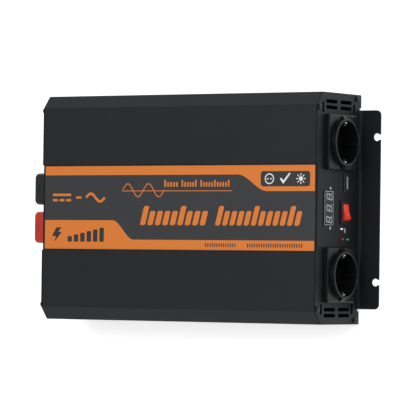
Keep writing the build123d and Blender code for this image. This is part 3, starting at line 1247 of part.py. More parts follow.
def make_parts():
    """Every sub-part under its node name."""
    parts = {
        "top_shell": make_top_shell(),
        "base_plate": make_base_plate(),
        "base_screws": make_base_screws(),
        "label_plate": make_label_plate(),
        "front_panel": make_front_panel(),
        "rear_panel": make_rear_panel(),
        "front_panel_screws": make_panel_screws(1),
        "rear_panel_screws": make_panel_screws(-1),
        "switch_body": make_switch_body(),
        "switch_rocker": make_rocker(),
        "switch_tabs": make_switch_tabs(),
        "display_bezel": make_display_bezel(),
        "display_module": make_display_module(),
        "display_screws": make_display_screws(),
        "board_spacers": make_board_spacers(),
        "front_board": make_front_board(),
        "usb_shell": make_usb_shell(),
        "usb_tongue": make_usb_tongue(),
        "usb_contacts": make_usb_contacts(),
        "red_lamp": make_lamp(RED_LAMP_Z),
        "green_lamp": make_lamp(GREEN_LAMP_Z),
        "fan_guards": make_fan_guards(),
        "fan_screws": make_fan_screws(),
        "terminal_insulator": make_terminal_insulator(),
        "terminal_screws": make_terminal_screws(),
        "earth_screw": make_earth_screw(),
        "earth_nuts": make_earth_nuts(),
        "main_board": make_main_board(),
        "standoffs": make_standoffs(),
        "board_screws": make_board_screws(),
        "transistors": make_transistors(),
        "thermal_pads": make_thermal_pads(),
        "clamp_bars": make_clamp_bars(),
        "clamp_screws": make_clamp_screws(),
        "transformer_cores": make_transformer_cores(),
        "transformer_windings": make_transformer_windings(),
        "input_capacitors": make_input_capacitors(),
        "output_capacitors": make_output_capacitors(),
        "choke_core": make_choke_core(),
        "choke_winding": make_choke_winding(),
        "fuses": make_fuses(),
        "control_board": make_control_board(),
        "socket_leads": make_socket_leads(),
    }
    for name, side in (("upper", 1), ("lower", -1)):
        parts[name + "_socket_housing"] = make_socket_housing(side)
        parts[name + "_socket_contacts"] = make_socket_contacts(side)
        parts[name + "_socket_earth_clip"] = make_earth_clip(side)
        parts[name + "_socket_back"] = make_socket_back(side)
        parts[name + "_fan_frame"] = make_fan_frame(side)
        parts[name + "_fan_rotor"] = make_fan_rotor(side)
    for name, side in (("negative", 1), ("positive", -1)):
        parts[name + "_terminal"] = make_terminal(side)
        parts[name + "_terminal_cover"] = make_terminal_cover(side)
    parts["bus_bars"] = group([make_bus_bar(1), make_bus_bar(-1)])
    return parts


os.makedirs("parts", exist_ok=True)
for node, shape in make_parts().items():
    export_step(shape, f"parts/{node}.step")
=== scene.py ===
"""Looks of a power inverter around its fixed CAD frame: finishes, printed film, panel details and studio.

Lengths inside the classes are millimetres, on the frame's own axes: +X towards the socket end, +Z up.
"""
import json
import logging
import math
from dataclasses import dataclass, field
from enum import Enum
from typing import Callable, Iterable, Sequence

import bpy
from mathutils import Matrix, Vector


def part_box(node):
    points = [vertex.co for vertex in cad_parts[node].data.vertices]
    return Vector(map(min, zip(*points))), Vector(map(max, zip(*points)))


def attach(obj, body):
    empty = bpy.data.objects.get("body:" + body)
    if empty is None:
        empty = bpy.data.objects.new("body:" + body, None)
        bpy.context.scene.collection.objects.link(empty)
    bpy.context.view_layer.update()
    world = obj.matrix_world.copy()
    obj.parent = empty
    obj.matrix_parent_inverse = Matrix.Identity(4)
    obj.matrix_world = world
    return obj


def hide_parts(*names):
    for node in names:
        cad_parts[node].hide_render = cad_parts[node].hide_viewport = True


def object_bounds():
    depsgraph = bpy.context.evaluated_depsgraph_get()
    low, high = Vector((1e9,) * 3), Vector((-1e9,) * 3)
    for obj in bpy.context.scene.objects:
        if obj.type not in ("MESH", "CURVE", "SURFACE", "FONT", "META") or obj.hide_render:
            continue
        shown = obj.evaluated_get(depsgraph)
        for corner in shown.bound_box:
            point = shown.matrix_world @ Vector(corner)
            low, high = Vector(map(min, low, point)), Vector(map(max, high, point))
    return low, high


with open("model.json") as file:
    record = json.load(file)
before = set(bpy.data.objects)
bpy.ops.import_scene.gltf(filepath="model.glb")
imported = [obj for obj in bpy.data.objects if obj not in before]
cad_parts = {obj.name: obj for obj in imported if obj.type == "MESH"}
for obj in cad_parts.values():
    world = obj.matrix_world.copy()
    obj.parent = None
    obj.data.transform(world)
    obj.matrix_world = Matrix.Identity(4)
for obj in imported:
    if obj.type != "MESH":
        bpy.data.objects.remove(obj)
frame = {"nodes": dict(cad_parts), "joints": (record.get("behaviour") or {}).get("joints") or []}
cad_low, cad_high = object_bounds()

MM = 0.001
PANEL_SHEET = 1.5            # thickness of the end panels
DRIFT_MM = 35                # width of the slow tone drifts
SPECKLE_SHARE = 0.6          # fineness of a cell pattern's second noise, as a share of the first
COAT_ROUGHNESS = 0.12
SLOPE_STEP = 0.01            # each way from a place where a curve's slope is taken
BEVEL_ANGLE = 40.0           # edges sharper than this are rounded
log = logging.getLogger("inverter")

Point2 = tuple[float, float]
Point3 = tuple[float, float, float]


# ---- colours and shader nodes ----
def linear(code: str) -> tuple[float, float, float, float]:
    """Turn an sRGB hex code into a linear colour.

    Args:
        code: Six hex digits, with or without a leading #.

    Returns:
        Red, green, blue and an alpha of one.
    """
    digits = code.lstrip("#")
    values = [int(digits[i:i + 2], 16) / 255 for i in (0, 2, 4)]
    channels = [v / 12.92 if v <= 0.04045 else ((v + 0.055) / 1.055) ** 2.4 for v in values]
    return (channels[0], channels[1], channels[2], 1.0)


def add_node(tree: bpy.types.NodeTree, kind: str, inputs: dict | None = None, **settings) -> bpy.types.Node:
    """Add one shader node with its settings, constants and links.

    Args:
        tree: The material's node tree.
        kind: The node's type name.
        inputs: Socket name or number to a constant, or to an output socket to link from.
        settings: Attributes of the node itself.

    Returns:
        The new node.
    """
    made = tree.nodes.new(kind)
    for name, value in settings.items():
        setattr(made, name, value)
    for socket, value in (inputs or {}).items():
        if isinstance(value, bpy.types.NodeSocket):
            tree.links.new(value, made.inputs[socket])
        else:
            made.inputs[socket].default_value = value
    return made


class Surface(Enum):
    """How a surface was made, which sets the pattern that its finish draws."""

    SPARK_ERODED = "moulded against a spark-eroded tool: even fine grain"
    POLISHED_TOOL = "moulded against a polished tool: smooth with slight waviness"
    POWDER_COAT = "baked powder: orange peel"
    EXTRUDED = "extruded and anodised: faint die lines along the length"
    BRUSHED = "brushed or drawn: streaks one way"
    PLATED = "barrel plated: tiny dents and a soft sparkle"
    PRINTED = "screen printed on film: slight ink mottling"
    FIRED = "pressed and fired: coarse speckle"


@dataclass(frozen=True)
class Finish:
    """One finish: what the real material is, its two close tones and the size of its surface pattern.

    The pattern sizes are real sizes in millimetres, some drawn coarser than life so that they show.
    """

    name: str
    surface: Surface
    tone: str
    second_tone: str
    roughness: float
    grain_mm: float
    relief_mm: float
    metallic: float = 0.0
    ior: float = 1.5
    coat: float = 0.0
    clear: float = 0.0
    stretch: Point3 = (1.0, 1.0, 1.0)
    roughness_swing: float = 0.06
    glow: float = 0.0

    def build(self) -> bpy.types.Material:
        """Make the Blender material.

        Returns:
            The material, drawn wholly from Object coordinates.
        """
        material = bpy.data.materials.new(self.name)
        material.use_nodes = True
        tree = material.node_tree
        tree.nodes.clear()
        place = add_node(tree, "ShaderNodeTexCoord")
        mapped = add_node(tree, "ShaderNodeMapping",
                          {"Vector": place.outputs["Object"], "Scale": self.stretch})
        fine = self.fine_pattern(tree, mapped.outputs["Vector"])
        # Handling and cooling leave tone drifts a few centimetres wide.
        drift = add_node(tree, "ShaderNodeTexNoise",
                         {"Vector": place.outputs["Object"], "Scale": 1 / (DRIFT_MM * MM), "Detail": 3.0})
        blend = add_node(tree, "ShaderNodeMath", {0: fine, 1: drift.outputs["Fac"]}, operation="MULTIPLY")
        tone = add_node(tree, "ShaderNodeMix",
                        {0: blend.outputs[0], 6: linear(self.tone), 7: linear(self.second_tone)},
                        data_type="RGBA")
        swing = self.roughness_swing
        smoothest = max(0.02, self.roughness - swing)
        rough = add_node(tree, "ShaderNodeMapRange",
                         {"Value": fine, "To Min": smoothest, "To Max": self.roughness + swing})
        bump = add_node(tree, "ShaderNodeBump",
                        {"Height": fine, "Distance": self.relief_mm * MM, "Strength": 1.0})
        shader = add_node(tree, "ShaderNodeBsdfPrincipled",
                          {"Base Color": tone.outputs[2], "Roughness": rough.outputs[0],
                           "Normal": bump.outputs[0], "Metallic": self.metallic, "IOR": self.ior,
                           "Coat Weight": self.coat, "Coat Roughness": COAT_ROUGHNESS,
                           "Transmission Weight": self.clear})
        if self.glow:
            shader.inputs["Emission Color"].default_value = linear(self.tone)
            shader.inputs["Emission Strength"].default_value = self.glow
        add_node(tree, "ShaderNodeOutputMaterial", {"Surface": shader.outputs[0]})
        return material

    def fine_pattern(self, tree: bpy.types.NodeTree, vector: bpy.types.NodeSocket) -> bpy.types.NodeSocket:
        """Draw the fine pattern that the surface's making leaves.

        Args:
            tree: The material's node tree.
            vector: Stretched Object coordinates.

        Returns:
            A height from nought to one.
        """
        scale = 1 / (self.grain_mm * MM)
        if self.surface in (Surface.PLATED, Surface.FIRED, Surface.POWDER_COAT):
            cells = add_node(tree, "ShaderNodeTexVoronoi", {"Vector": vector, "Scale": scale},
                             feature="SMOOTH_F1")
            noise = add_node(tree, "ShaderNodeTexNoise",
                             {"Vector": vector, "Scale": scale * SPECKLE_SHARE, "Detail": 2.0})
            mixed = add_node(tree, "ShaderNodeMath", {0: cells.outputs["Distance"], 1: noise.outputs["Fac"]},
                             operation="MULTIPLY")
            return mixed.outputs[0]
        detail = 6.0 if self.surface in (Surface.BRUSHED, Surface.EXTRUDED) else 3.0
        noise = add_node(tree, "ShaderNodeTexNoise",
                         {"Vector": vector, "Scale": scale, "Detail": detail, "Roughness": 0.6})
        return noise.outputs["Fac"]


# Anodised 6063 aluminium, bead blasted before anodising: matt, with faint die lines along the length.
ANODISED_SHELL = Finish("anodised_aluminium_matt_black", Surface.EXTRUDED, "#1d1e20", "#252628", 0.58, 0.5,
                        0.012,
                        ior=1.34, stretch=(0.03, 1.0, 1.0))
# Zinc-coated steel sheet under black powder paint: slight orange peel about a millimetre across.
POWDER_PANEL = Finish("powder_coat_black", Surface.POWDER_COAT, "#17181b", "#202226", 0.52, 1.1, 0.05,
                      ior=1.22)
BASE_COAT = Finish("powder_coat_underside", Surface.POWDER_COAT, "#232426", "#2d2e30", 0.55, 1.1, 0.05)
# Polycarbonate film printed on its face: satin, with slight mottling in the ink.
FILM_GROUND = Finish("printed_film_charcoal", Surface.PRINTED, "#343538", "#3b3c3f", 0.55, 0.6, 0.004,
                     ior=1.4)
INK_ORANGE = Finish("ink_orange", Surface.PRINTED, "#d9782f", "#e08338", 0.55, 0.5, 0.004, ior=1.4)
INK_WHITE = Finish("ink_white", Surface.PRINTED, "#e2e2e0", "#f0f0ee", 0.5, 0.5, 0.004)
INK_DARK = Finish("ink_charcoal", Surface.PRINTED, "#2b2b2d", "#353537", 0.5, 0.5, 0.004)
INK_GREY = Finish("ink_grey", Surface.PRINTED, "#8d8f92", "#a3a5a8", 0.5, 0.5, 0.004)
# Signs moulded in the rocker's own colour, drawn a shade paler as a painted highlight where light would catch
# their raised edges.
SIGN_RED_PAINTED_HIGHLIGHT = Finish("polycarbonate_red_sign_painted_highlight", Surface.POLISHED_TOOL, "#dd5a45", "#e66c55", 0.3, 1.5, 0.004)
# Glass-filled nylon of the sockets: dense black with a low gloss from the tool.
SOCKET_NYLON = Finish("nylon_black_semi_gloss", Surface.SPARK_ERODED, "#0c0d0e", "#131415", 0.36, 0.35, 0.010,
                      ior=1.24)
PLASTIC_BLACK = Finish("abs_black_fine_grain", Surface.SPARK_ERODED, "#121314", "#1a1b1c", 0.42, 0.4,
                       0.012, ior=1.3)
PLASTIC_GREY = Finish("display_face_grey", Surface.POLISHED_TOOL, "#202124", "#28292c", 0.25, 2.0, 0.004)
ROCKER_RED = Finish("polycarbonate_red_gloss", Surface.POLISHED_TOOL, "#d9301c", "#e4452c", 0.28, 2.5, 0.006,
                    coat=0.3)
COVER_RED = Finish("soft_pvc_red", Surface.SPARK_ERODED, "#bf2f25", "#cd4136", 0.44, 0.45, 0.015)
COVER_BLACK = Finish("soft_pvc_black", Surface.SPARK_ERODED, "#1b1c1d", "#262728", 0.46, 0.45, 0.015)
# Epoxy lamp lenses: smooth tinted resin.
LENS_RED = Finish("epoxy_red", Surface.POLISHED_TOOL, "#8e2430", "#a8303a", 0.12, 3.0, 0.002, clear=0.35,
                  coat=0.5)
LENS_GREEN = Finish("epoxy_green", Surface.POLISHED_TOOL, "#2f8a54", "#46a86c", 0.12, 3.0, 0.002, clear=0.35,
                    coat=0.5)
DISPLAY_LENS = Finish("display_lens_smoked", Surface.POLISHED_TOOL, "#1d1e20", "#26272a", 0.45, 1.5, 0.002,
                      ior=1.3)
SEGMENT = Finish("segment_resin_unlit", Surface.POLISHED_TOOL, "#9c9da0", "#b2b3b6", 0.35, 1.5, 0.002)
BRASS = Finish("brass_turned", Surface.BRUSHED, "#b08d49", "#c9a765", 0.28, 0.3, 0.006, metallic=1.0,
               stretch=(0.1, 1.0, 1.0))
COPPER = Finish("copper_rolled", Surface.BRUSHED, "#b0683f", "#c98055", 0.30, 0.3, 0.006, metallic=1.0,
                stretch=(0.1, 1.0, 1.0))
ENAMELLED_WIRE = Finish("copper_enamelled", Surface.POLISHED_TOOL, "#9a4a22", "#b15c2e", 0.28, 1.2, 0.004,
                        metallic=0.6, coat=0.5)
NICKEL = Finish("steel_nickel_plated", Surface.PLATED, "#9c9d9f", "#b7b8ba", 0.26, 0.6, 0.008, metallic=1.0)
# Nickel on the port's spring strip, pale and only slightly metallic so that it shows bright from every side:
# partly the strip's own plating, partly a painted highlight along the port's mouth.
PALE_NICKEL_PAINTED_HIGHLIGHT = Finish("nickel_pale_painted_highlight", Surface.PLATED, "#c9cacb", "#dcdddd", 0.45, 0.5, 0.004,
                      metallic=0.25)
SLEEVE_STEEL = Finish("steel_dark_passivated", Surface.PLATED, "#4a4b4e", "#5d5e61", 0.38, 0.5, 0.006,
                      metallic=0.9)
STEEL = Finish("steel_cold_rolled", Surface.BRUSHED, "#8f9193", "#a6a8aa", 0.36, 0.3, 0.008, metallic=1.0,
               stretch=(0.08, 1.0, 1.0))
BLACK_SCREW = Finish("steel_black_zinc", Surface.PLATED, "#2a2b2d", "#3d3e41", 0.32, 0.5, 0.008,
                     metallic=0.85)
BOARD_GREEN = Finish("solder_mask_green", Surface.PRINTED, "#12482c", "#1a5a38", 0.34, 0.9, 0.010)
COMPONENT = Finish("epoxy_component_black", Surface.SPARK_ERODED, "#1e1f20", "#292a2b", 0.5, 0.4, 0.012)
PAD = Finish("silicone_pad_grey", Surface.SPARK_ERODED, "#9aa3a8", "#a9b1b5", 0.7, 0.6, 0.02)
FERRITE = Finish("ferrite_sintered", Surface.FIRED, "#2c2d2f", "#3a3b3d", 0.6, 0.7, 0.02)
TAPE = Finish("polyester_tape_yellow", Surface.PRINTED, "#b98a1e", "#cc9d30", 0.35, 1.6, 0.01,
              stretch=(0.2, 0.2, 2.0))
SLEEVE = Finish("shrink_sleeve_black", Surface.POLISHED_TOOL, "#17181c", "#23252a", 0.3, 1.8, 0.008)
FUSE = Finish("polycarbonate_green_fuse", Surface.POLISHED_TOOL, "#2b8a45", "#3a9c55", 0.2, 2.0, 0.004,
              clear=0.4)
LEAD = Finish("lead_insulation_brown", Surface.POLISHED_TOOL, "#4a2a1a", "#5a3625", 0.4, 0.9, 0.01)
# Seamless white paper, lit from within a little so that it stays white under soft light.
STUDIO_FLOOR = Finish("studio_floor_white", Surface.PRINTED, "#f4f4f4", "#f8f8f8", 0.9, 8.0, 0.0, glow=0.6)

NODE_FINISHES: dict[Finish, tuple[str, ...]] = {
    ANODISED_SHELL: ("top_shell",),
    BASE_COAT: ("base_plate",),
    POWDER_PANEL: ("front_panel", "rear_panel"),
    FILM_GROUND: ("label_plate",),
    SOCKET_NYLON: ("upper_socket_housing", "lower_socket_housing", "upper_socket_back", "lower_socket_back"),
    PLASTIC_BLACK: ("switch_body", "display_bezel", "terminal_insulator", "upper_fan_frame",
                    "lower_fan_frame", "upper_fan_rotor", "lower_fan_rotor", "usb_tongue"),
    PLASTIC_GREY: ("display_module",),
    ROCKER_RED: ("switch_rocker",),
    COVER_RED: ("positive_terminal_cover",),
    COVER_BLACK: ("negative_terminal_cover",),
    LENS_RED: ("red_lamp",),
    LENS_GREEN: ("green_lamp",),
    BRASS: ("switch_tabs", "board_spacers", "usb_contacts", "upper_socket_contacts", "lower_socket_contacts",
            "positive_terminal", "negative_terminal", "standoffs"),
    COPPER: ("bus_bars",),
    ENAMELLED_WIRE: ("choke_winding",),
    SLEEVE_STEEL: ("usb_shell",),
    NICKEL: ("display_screws", "upper_socket_earth_clip", "lower_socket_earth_clip", "fan_guards",
             "earth_screw", "earth_nuts", "board_screws"),
    STEEL: ("clamp_bars",),
    BLACK_SCREW: ("front_panel_screws", "rear_panel_screws", "base_screws", "fan_screws", "terminal_screws",
                  "clamp_screws"),
    BOARD_GREEN: ("main_board", "front_board", "control_board"),
    COMPONENT: ("transistors",),
    PAD: ("thermal_pads",),
    FERRITE: ("transformer_cores", "choke_core"),
    TAPE: ("transformer_windings",),
    SLEEVE: ("input_capacitors", "output_capacitors"),
    FUSE: ("fuses",),
    LEAD: ("socket_leads",),
}


# ---- modelling helpers ----
def clear_selection() -> None:
    """Leave edit mode if needed and deselect everything."""
    if bpy.context.object is not None and bpy.context.object.mode != "OBJECT":
        bpy.ops.object.mode_set(mode="OBJECT")
    bpy.ops.object.select_all(action="DESELECT")


def select_only(piece: bpy.types.Object) -> None:
    """Select one piece and make it active."""
    clear_selection()
    piece.select_set(True)
    bpy.context.view_layer.objects.active = piece


def outline_piece(name: str, points: Sequence[Point2]) -> bpy.types.Object:
    """Start a flat piece from a circle primitive whose corners are pulled on to an outline.

    Args:
        name: The piece's name.
        points: Outline in the sheet's own plane, anticlockwise, in millimetres.

    Returns:
        A flat filled mesh in the XY plane, in metres.
    """
    clear_selection()
    bpy.ops.mesh.primitive_circle_add(vertices=len(points), radius=1.0, fill_type="NGON")
    piece = bpy.context.object
    piece.name = name
    for vertex, (x, y) in zip(piece.data.vertices, points):
        vertex.co = Vector((x * MM, y * MM, 0.0))
    return piece


def raise_sheet(piece: bpy.types.Object, height_mm: float) -> None:
    """Give a flat piece its thickness by extruding all its faces upwards.

    Args:
        piece: A flat mesh in the XY plane.
        height_mm: Thickness.
    """
    select_only(piece)
    bpy.ops.object.mode_set(mode="EDIT")
    bpy.ops.mesh.select_all(action="SELECT")
    bpy.ops.mesh.extrude_region_move(TRANSFORM_OT_translate={"value": (0, 0, height_mm * MM)})
    bpy.ops.mesh.select_all(action="SELECT")
    bpy.ops.mesh.normals_make_consistent(inside=False)
    bpy.ops.object.mode_set(mode="OBJECT")


def apply_modifier(piece: bpy.types.Object, kind: str, **settings) -> None:
    """Add a modifier with its settings and apply it."""
    select_only(piece)
    made = piece.modifiers.new(kind.lower(), kind)
    for name, value in settings.items():
        setattr(made, name, value)
    bpy.ops.object.modifier_apply(modifier=made.name)


def place_mesh(piece: bpy.types.Object, matrix: Matrix) -> None:
    """Move a piece's mesh, so that its object stays at the origin."""
    piece.data.transform(matrix)
    piece.data.update()


def join_pieces(name: str, pieces: Sequence[bpy.types.Object]) -> bpy.types.Object:
    """Join finished meshes into one piece.

    Args:
        name: The joined piece's name.
        pieces: Meshes whose objects sit at the origin.

    Returns:
        The joined piece.
    """
    clear_selection()
    for piece in pieces:
        piece.select_set(True)
    bpy.context.view_layer.objects.active = pieces[0]
    if len(pieces) > 1:
        bpy.ops.object.join()
    joined = bpy.context.object
    joined.name = name
    return joined


def bevel_piece(piece: bpy.types.Object, width_mm: float, segments: int = 2) -> None:
    """Round a piece's sharp edges."""
    apply_modifier(piece, "BEVEL", width=width_mm * MM, segments=segments, limit_method="ANGLE",
                   angle_limit=math.radians(BEVEL_ANGLE))


def smooth_piece(piece: bpy.types.Object, degrees: float = 40.0) -> None:
    """Shade a piece smooth except across sharp edges."""
    select_only(piece)
    bpy.ops.object.shade_smooth_by_angle(angle=math.radians(degrees))


MADE_MATERIALS: dict[str, bpy.types.Material] = {}


def dress(piece: bpy.types.Object, finish: Finish) -> None:
    """Give a piece one finish over its whole surface."""
    if finish.name not in MADE_MATERIALS:
        MADE_MATERIALS[finish.name] = finish.build()
    piece.data.materials.clear()
    piece.data.materials.append(MADE_MATERIALS[finish.name])


def deliver(piece: bpy.types.Object, finish: Finish, body: str) -> bpy.types.Object:
    """Dress a finished piece, let it ride on its body and report it.

    Args:
        piece: The finished piece, its object at the origin.
        finish: Its finish.
        body: The CAD body it rides on.

    Returns:
        The same piece.
    """
    dress(piece, finish)
    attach(piece, body)
    log.info("piece %s rides on %s with %d faces", piece.name, body, len(piece.data.polygons))
    return piece


def corners_of(node: str) -> tuple[Vector, Vector]:
    """Lowest and highest corner of a CAD node, in millimetres."""
    low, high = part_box(node)
    return low / MM, high / MM


def rounded_outline(x0: float, x1: float, y0: float, y1: float, radius: float,
                    steps: int = 6) -> list[Point2]:
    """Outline of a rounded rectangle.

    Args:
        x0: Left side.
        x1: Right side.
        y0: Lower side.
        y1: Upper side.
        radius: Corner radius.
        steps: Straight pieces in each corner.

    Returns:
        Points, anticlockwise.
    """
    centres = ((x1 - radius, y1 - radius, 0), (x0 + radius, y1 - radius, 90),
               (x0 + radius, y0 + radius, 180), (x1 - radius, y0 + radius, 270))
    points = []
    for cx, cy, start in centres:
        for i in range(steps + 1):
            angle = math.radians(start + 90 * i / steps)
            points.append((cx + radius * math.cos(angle), cy + radius * math.sin(angle)))
    return points


def ribbon_outline(centre: Callable[[float], float], x0: float, x1: float, width: float,
                   steps: int) -> list[Point2]:
    """Outline of an even ribbon that follows a curve.

    Args:
        centre: Height of the curve at an X.
        x0: Start.
        x1: End.
        width: The ribbon's width.
        steps: Straight pieces along it.

    Returns:
        Points, anticlockwise.
    """
    lower, upper = [], []
    for i in range(steps + 1):
        x = x0 + (x1 - x0) * i / steps
        slope = (centre(x + SLOPE_STEP) - centre(x - SLOPE_STEP)) / (2 * SLOPE_STEP)
        length = math.hypot(1.0, slope)
        nx, ny = -slope / length, 1 / length
        lower.append((x - nx * width / 2, centre(x) - ny * width / 2))
        upper.append((x + nx * width / 2, centre(x) + ny * width / 2))
    return lower + upper[::-1]


def ease(x: float, x0: float, x1: float, y0: float, y1: float) -> float:
    """Smooth step from y0 before x0 to y1 after x1."""
    t = min(1.0, max(0.0, (x - x0) / (x1 - x0)))
    return y0 + (y1 - y0) * t * t * (3 - 2 * t)


# ---- printed film on the top face ----
@dataclass
class PrintedFilm:
    """Inks printed on the film in the channel: bands, a sine graph, signs and stroke rows, no lettering."""

    ink: float = 0.05
    layer: float = 0.03
    edge_margin: float = 0.5
    band_split: Point2 = (66.0, 97.0)
    band_heights: Point2 = (30.3, 15.1)
    low_band_split: Point2 = (-71.0, -47.5)
    low_band_heights: Point2 = (-11.8, -29.7)
    graph_span: Point2 = (-60.0, -14.0)
    graph_middle: float = 16.1
    graph_swing: float = 6.0
    graph_period: float = 22.9
    rule_span: Point2 = (-60.0, 59.8)
    rule_height: float = 15.5
    rule_width: float = 0.7
    curve_width: float = 0.9
    slant: float = 0.26
    steps: int = 24
    low: Vector = field(default_factory=Vector)
    high: Vector = field(default_factory=Vector)

    def sheet(self, name: str, points: Sequence[Point2]) -> bpy.types.Object:
        """Make one printed area with the ink's thickness, standing on the film."""
        piece = outline_piece(name, points)
        raise_sheet(piece, self.ink)
        place_mesh(piece, Matrix.Translation((0, 0, self.high.z * MM)))
        return piece

    def build(self) -> list[bpy.types.Object]:
        """Build every printed area on the label plate."""
        self.low, self.high = corners_of("label_plate")
        made = [
            deliver(self.upper_band(), INK_ORANGE, "case"),
            deliver(self.lower_band(), INK_ORANGE, "case"),
            deliver(self.graph(), INK_ORANGE, "case"),
            deliver(self.current_symbols(), INK_ORANGE, "case"),
            deliver(self.large_strokes(), INK_ORANGE, "case"),
            deliver(self.small_strokes(), INK_ORANGE, "case"),
            deliver(self.rating_marks(), INK_DARK, "case"),
            deliver(self.dark_strokes(), INK_DARK, "case"),
            deliver(self.mark_box(), INK_DARK, "case"),
            deliver(self.pictograms(), INK_WHITE, "case"),
        ]
        return made

    def upper_band(self) -> bpy.types.Object:
        """Band along the far edge that widens in an S towards the socket end."""
        x0, x1 = self.low.x + self.edge_margin, self.high.x - self.edge_margin
        top = self.high.y - self.edge_margin
        start, end = self.band_split
        curve = [start + (end - start) * i / self.steps for i in range(self.steps + 1)]
        lower = [(x0, self.band_heights[0])]
        lower += [(x, ease(x, *self.band_split, *self.band_heights)) for x in curve]
        lower += [(x1, self.band_heights[1])]
        return self.sheet("film_band_upper", lower + [(x1, top), (x0, top)])

    def lower_band(self) -> bpy.types.Object:
        """Band along the near edge that is wide at the cable end and narrows in an S."""
        x0, x1 = self.low.x + self.edge_margin, self.high.x - self.edge_margin
        bottom = self.low.y + self.edge_margin
        start, end = self.low_band_split
        curve = [end - (end - start) * i / self.steps for i in range(self.steps + 1)]
        upper = [(x1, self.low_band_heights[1])]
        upper += [(x, ease(x, *self.low_band_split, *self.low_band_heights)) for x in curve]
        upper += [(x0, self.low_band_heights[0])]
        return self.sheet("film_band_lower", [(x0, bottom), (x1, bottom)] + upper)

    def graph(self) -> bpy.types.Object:
        """Sine graph over its axis line."""
        x0, x1 = self.graph_span

        def wave(x: float) -> float:
            """Height of the graph."""
            return self.graph_middle + self.graph_swing * math.sin(2 * math.pi * (x - x0) / self.graph_period)

        half = self.rule_width / 2
        start, end = self.rule_span
        low, high = self.rule_height - half, self.rule_height + half
        rule = self.sheet("rule", [(start, low), (end, low), (end, high), (start, high)])
        curve = self.sheet("curve", ribbon_outline(wave, x0, x1, self.curve_width, 96))
        return join_pieces("film_sine_graph", [rule, self.overprint(curve)])

    def strokes(self, x0: float, x1: float, base: float, tall: float, short: float, width: float,
                gap: float, slant: float) -> list[bpy.types.Object]:
        """Row of rounded strokes, every fifth one tall, that stands where a caption would.

        Args:
            x0: Start.
            x1: End.
            base: Height of the strokes' feet.
            tall: Length of a tall stroke.
            short: Length of the others.
            width: Stroke width.
            gap: Space between strokes.
            slant: Sideways lean per unit of height.

        Returns:
            The strokes, one mesh each.
        """
        count = max(1, round((x1 - x0 + gap) / (width + gap)))
        pitch = (x1 - x0 + gap) / count
        made = []
        for i in range(count):
            height = tall if i % 5 == 0 else short
            x = x0 + i * pitch
            corner = 0.3 * min(width, pitch - gap)
            points = rounded_outline(x, x + pitch - gap, base, base + height, corner, 3)
            made.append(self.sheet("stroke", [(px + (py - base) * slant, py) for px, py in points]))
        return made

    def large_strokes(self) -> bpy.types.Object:
        """Two rows of bold leaning strokes across the middle of the film."""
        made = self.strokes(-40.5, 31.0, -16.2, 17.8, 13.2, 5.6, 2.3, self.slant)
        made += self.strokes(41.8, 131.5, -16.2, 17.8, 13.2, 5.6, 2.3, self.slant)
        return join_pieces("film_large_strokes", made)

    def small_strokes(self) -> bpy.types.Object:
        """Row of small upright strokes over the axis line."""
        made = []
        for x0, x1 in ((-14.0, 1.0), (5.0, 21.5), (25.5, 57.0)):
            made += self.strokes(x0, x1, 19.2, 6.3, 4.4, 1.7, 1.3, 0.0)
        return join_pieces("film_small_strokes", made)

    def dark_strokes(self) -> bpy.types.Object:
        """Two rows of tiny dark strokes on the lower band."""
        made = []
        for x0, x1 in ((31.6, 64.3), (76.7, 134.9)):
            made += self.strokes(x0, x1, -36.0, 3.5, 3.5, 1.2, 1.3, 0.0)
        return self.overprint(join_pieces("film_dark_strokes", made))

    def current_symbols(self) -> bpy.types.Object:
        """Direct-current sign, a dash and the alternating-current sign."""
        made = [self.sheet("bar", rounded_outline(-139.0, -118.0, 10.8, 13.0, 0.8, 3))]
        for i in range(3):
            x = -139.0 + i * 7.6
            made.append(self.sheet("dash", rounded_outline(x, x + 5.8, 5.8, 8.0, 0.8, 3)))
        made.append(self.sheet("link", rounded_outline(-112.5, -106.0, 8.4, 10.4, 0.7, 3)))

        def tilde(x: float) -> float:
            """Height of the alternating-current sign."""
            return 9.4 + 3.6 * math.sin(2 * math.pi * (x + 101.0) / 21.0)

        made.append(self.sheet("tilde", ribbon_outline(tilde, -101.0, -80.0, 2.4, 40)))
        return join_pieces("film_current_symbols", made)

    def rating_marks(self) -> bpy.types.Object:
        """Bolt sign and a rising ladder of power bars on the lower band."""
        bolt = [(-136.6, -32.3), (-128.2, -22.9), (-132.4, -22.9), (-128.6, -18.6), (-134.4, -18.6),
                (-139.4, -26.8), (-134.8, -26.8)]
        made = [self.sheet("bolt", bolt)]
        for i in range(6):
            x = -121.5 + i * 7.2
            made.append(self.sheet("step", rounded_outline(x, x + 5.0, -32.0, -26.8 + i * 1.6, 0.9, 3)))
        return self.overprint(join_pieces("film_rating_marks", made))

    def mark_box(self) -> bpy.types.Object:
        """Dark rounded field in the upper band."""
        return self.overprint(self.sheet("film_mark_box", rounded_outline(90.4, 142.5, 19.4, 33.2, 2.6, 6)))

    def overprint(self, piece: bpy.types.Object, layers: int = 1) -> bpy.types.Object:
        """Lift a printed area on to the inks already under it.

        Args:
            piece: The printed area, standing on the film.
            layers: How many inks lie under it.

        Returns:
            The same piece.
        """
        place_mesh(piece, Matrix.Translation((0, 0, layers * self.layer * MM)))
        return piece

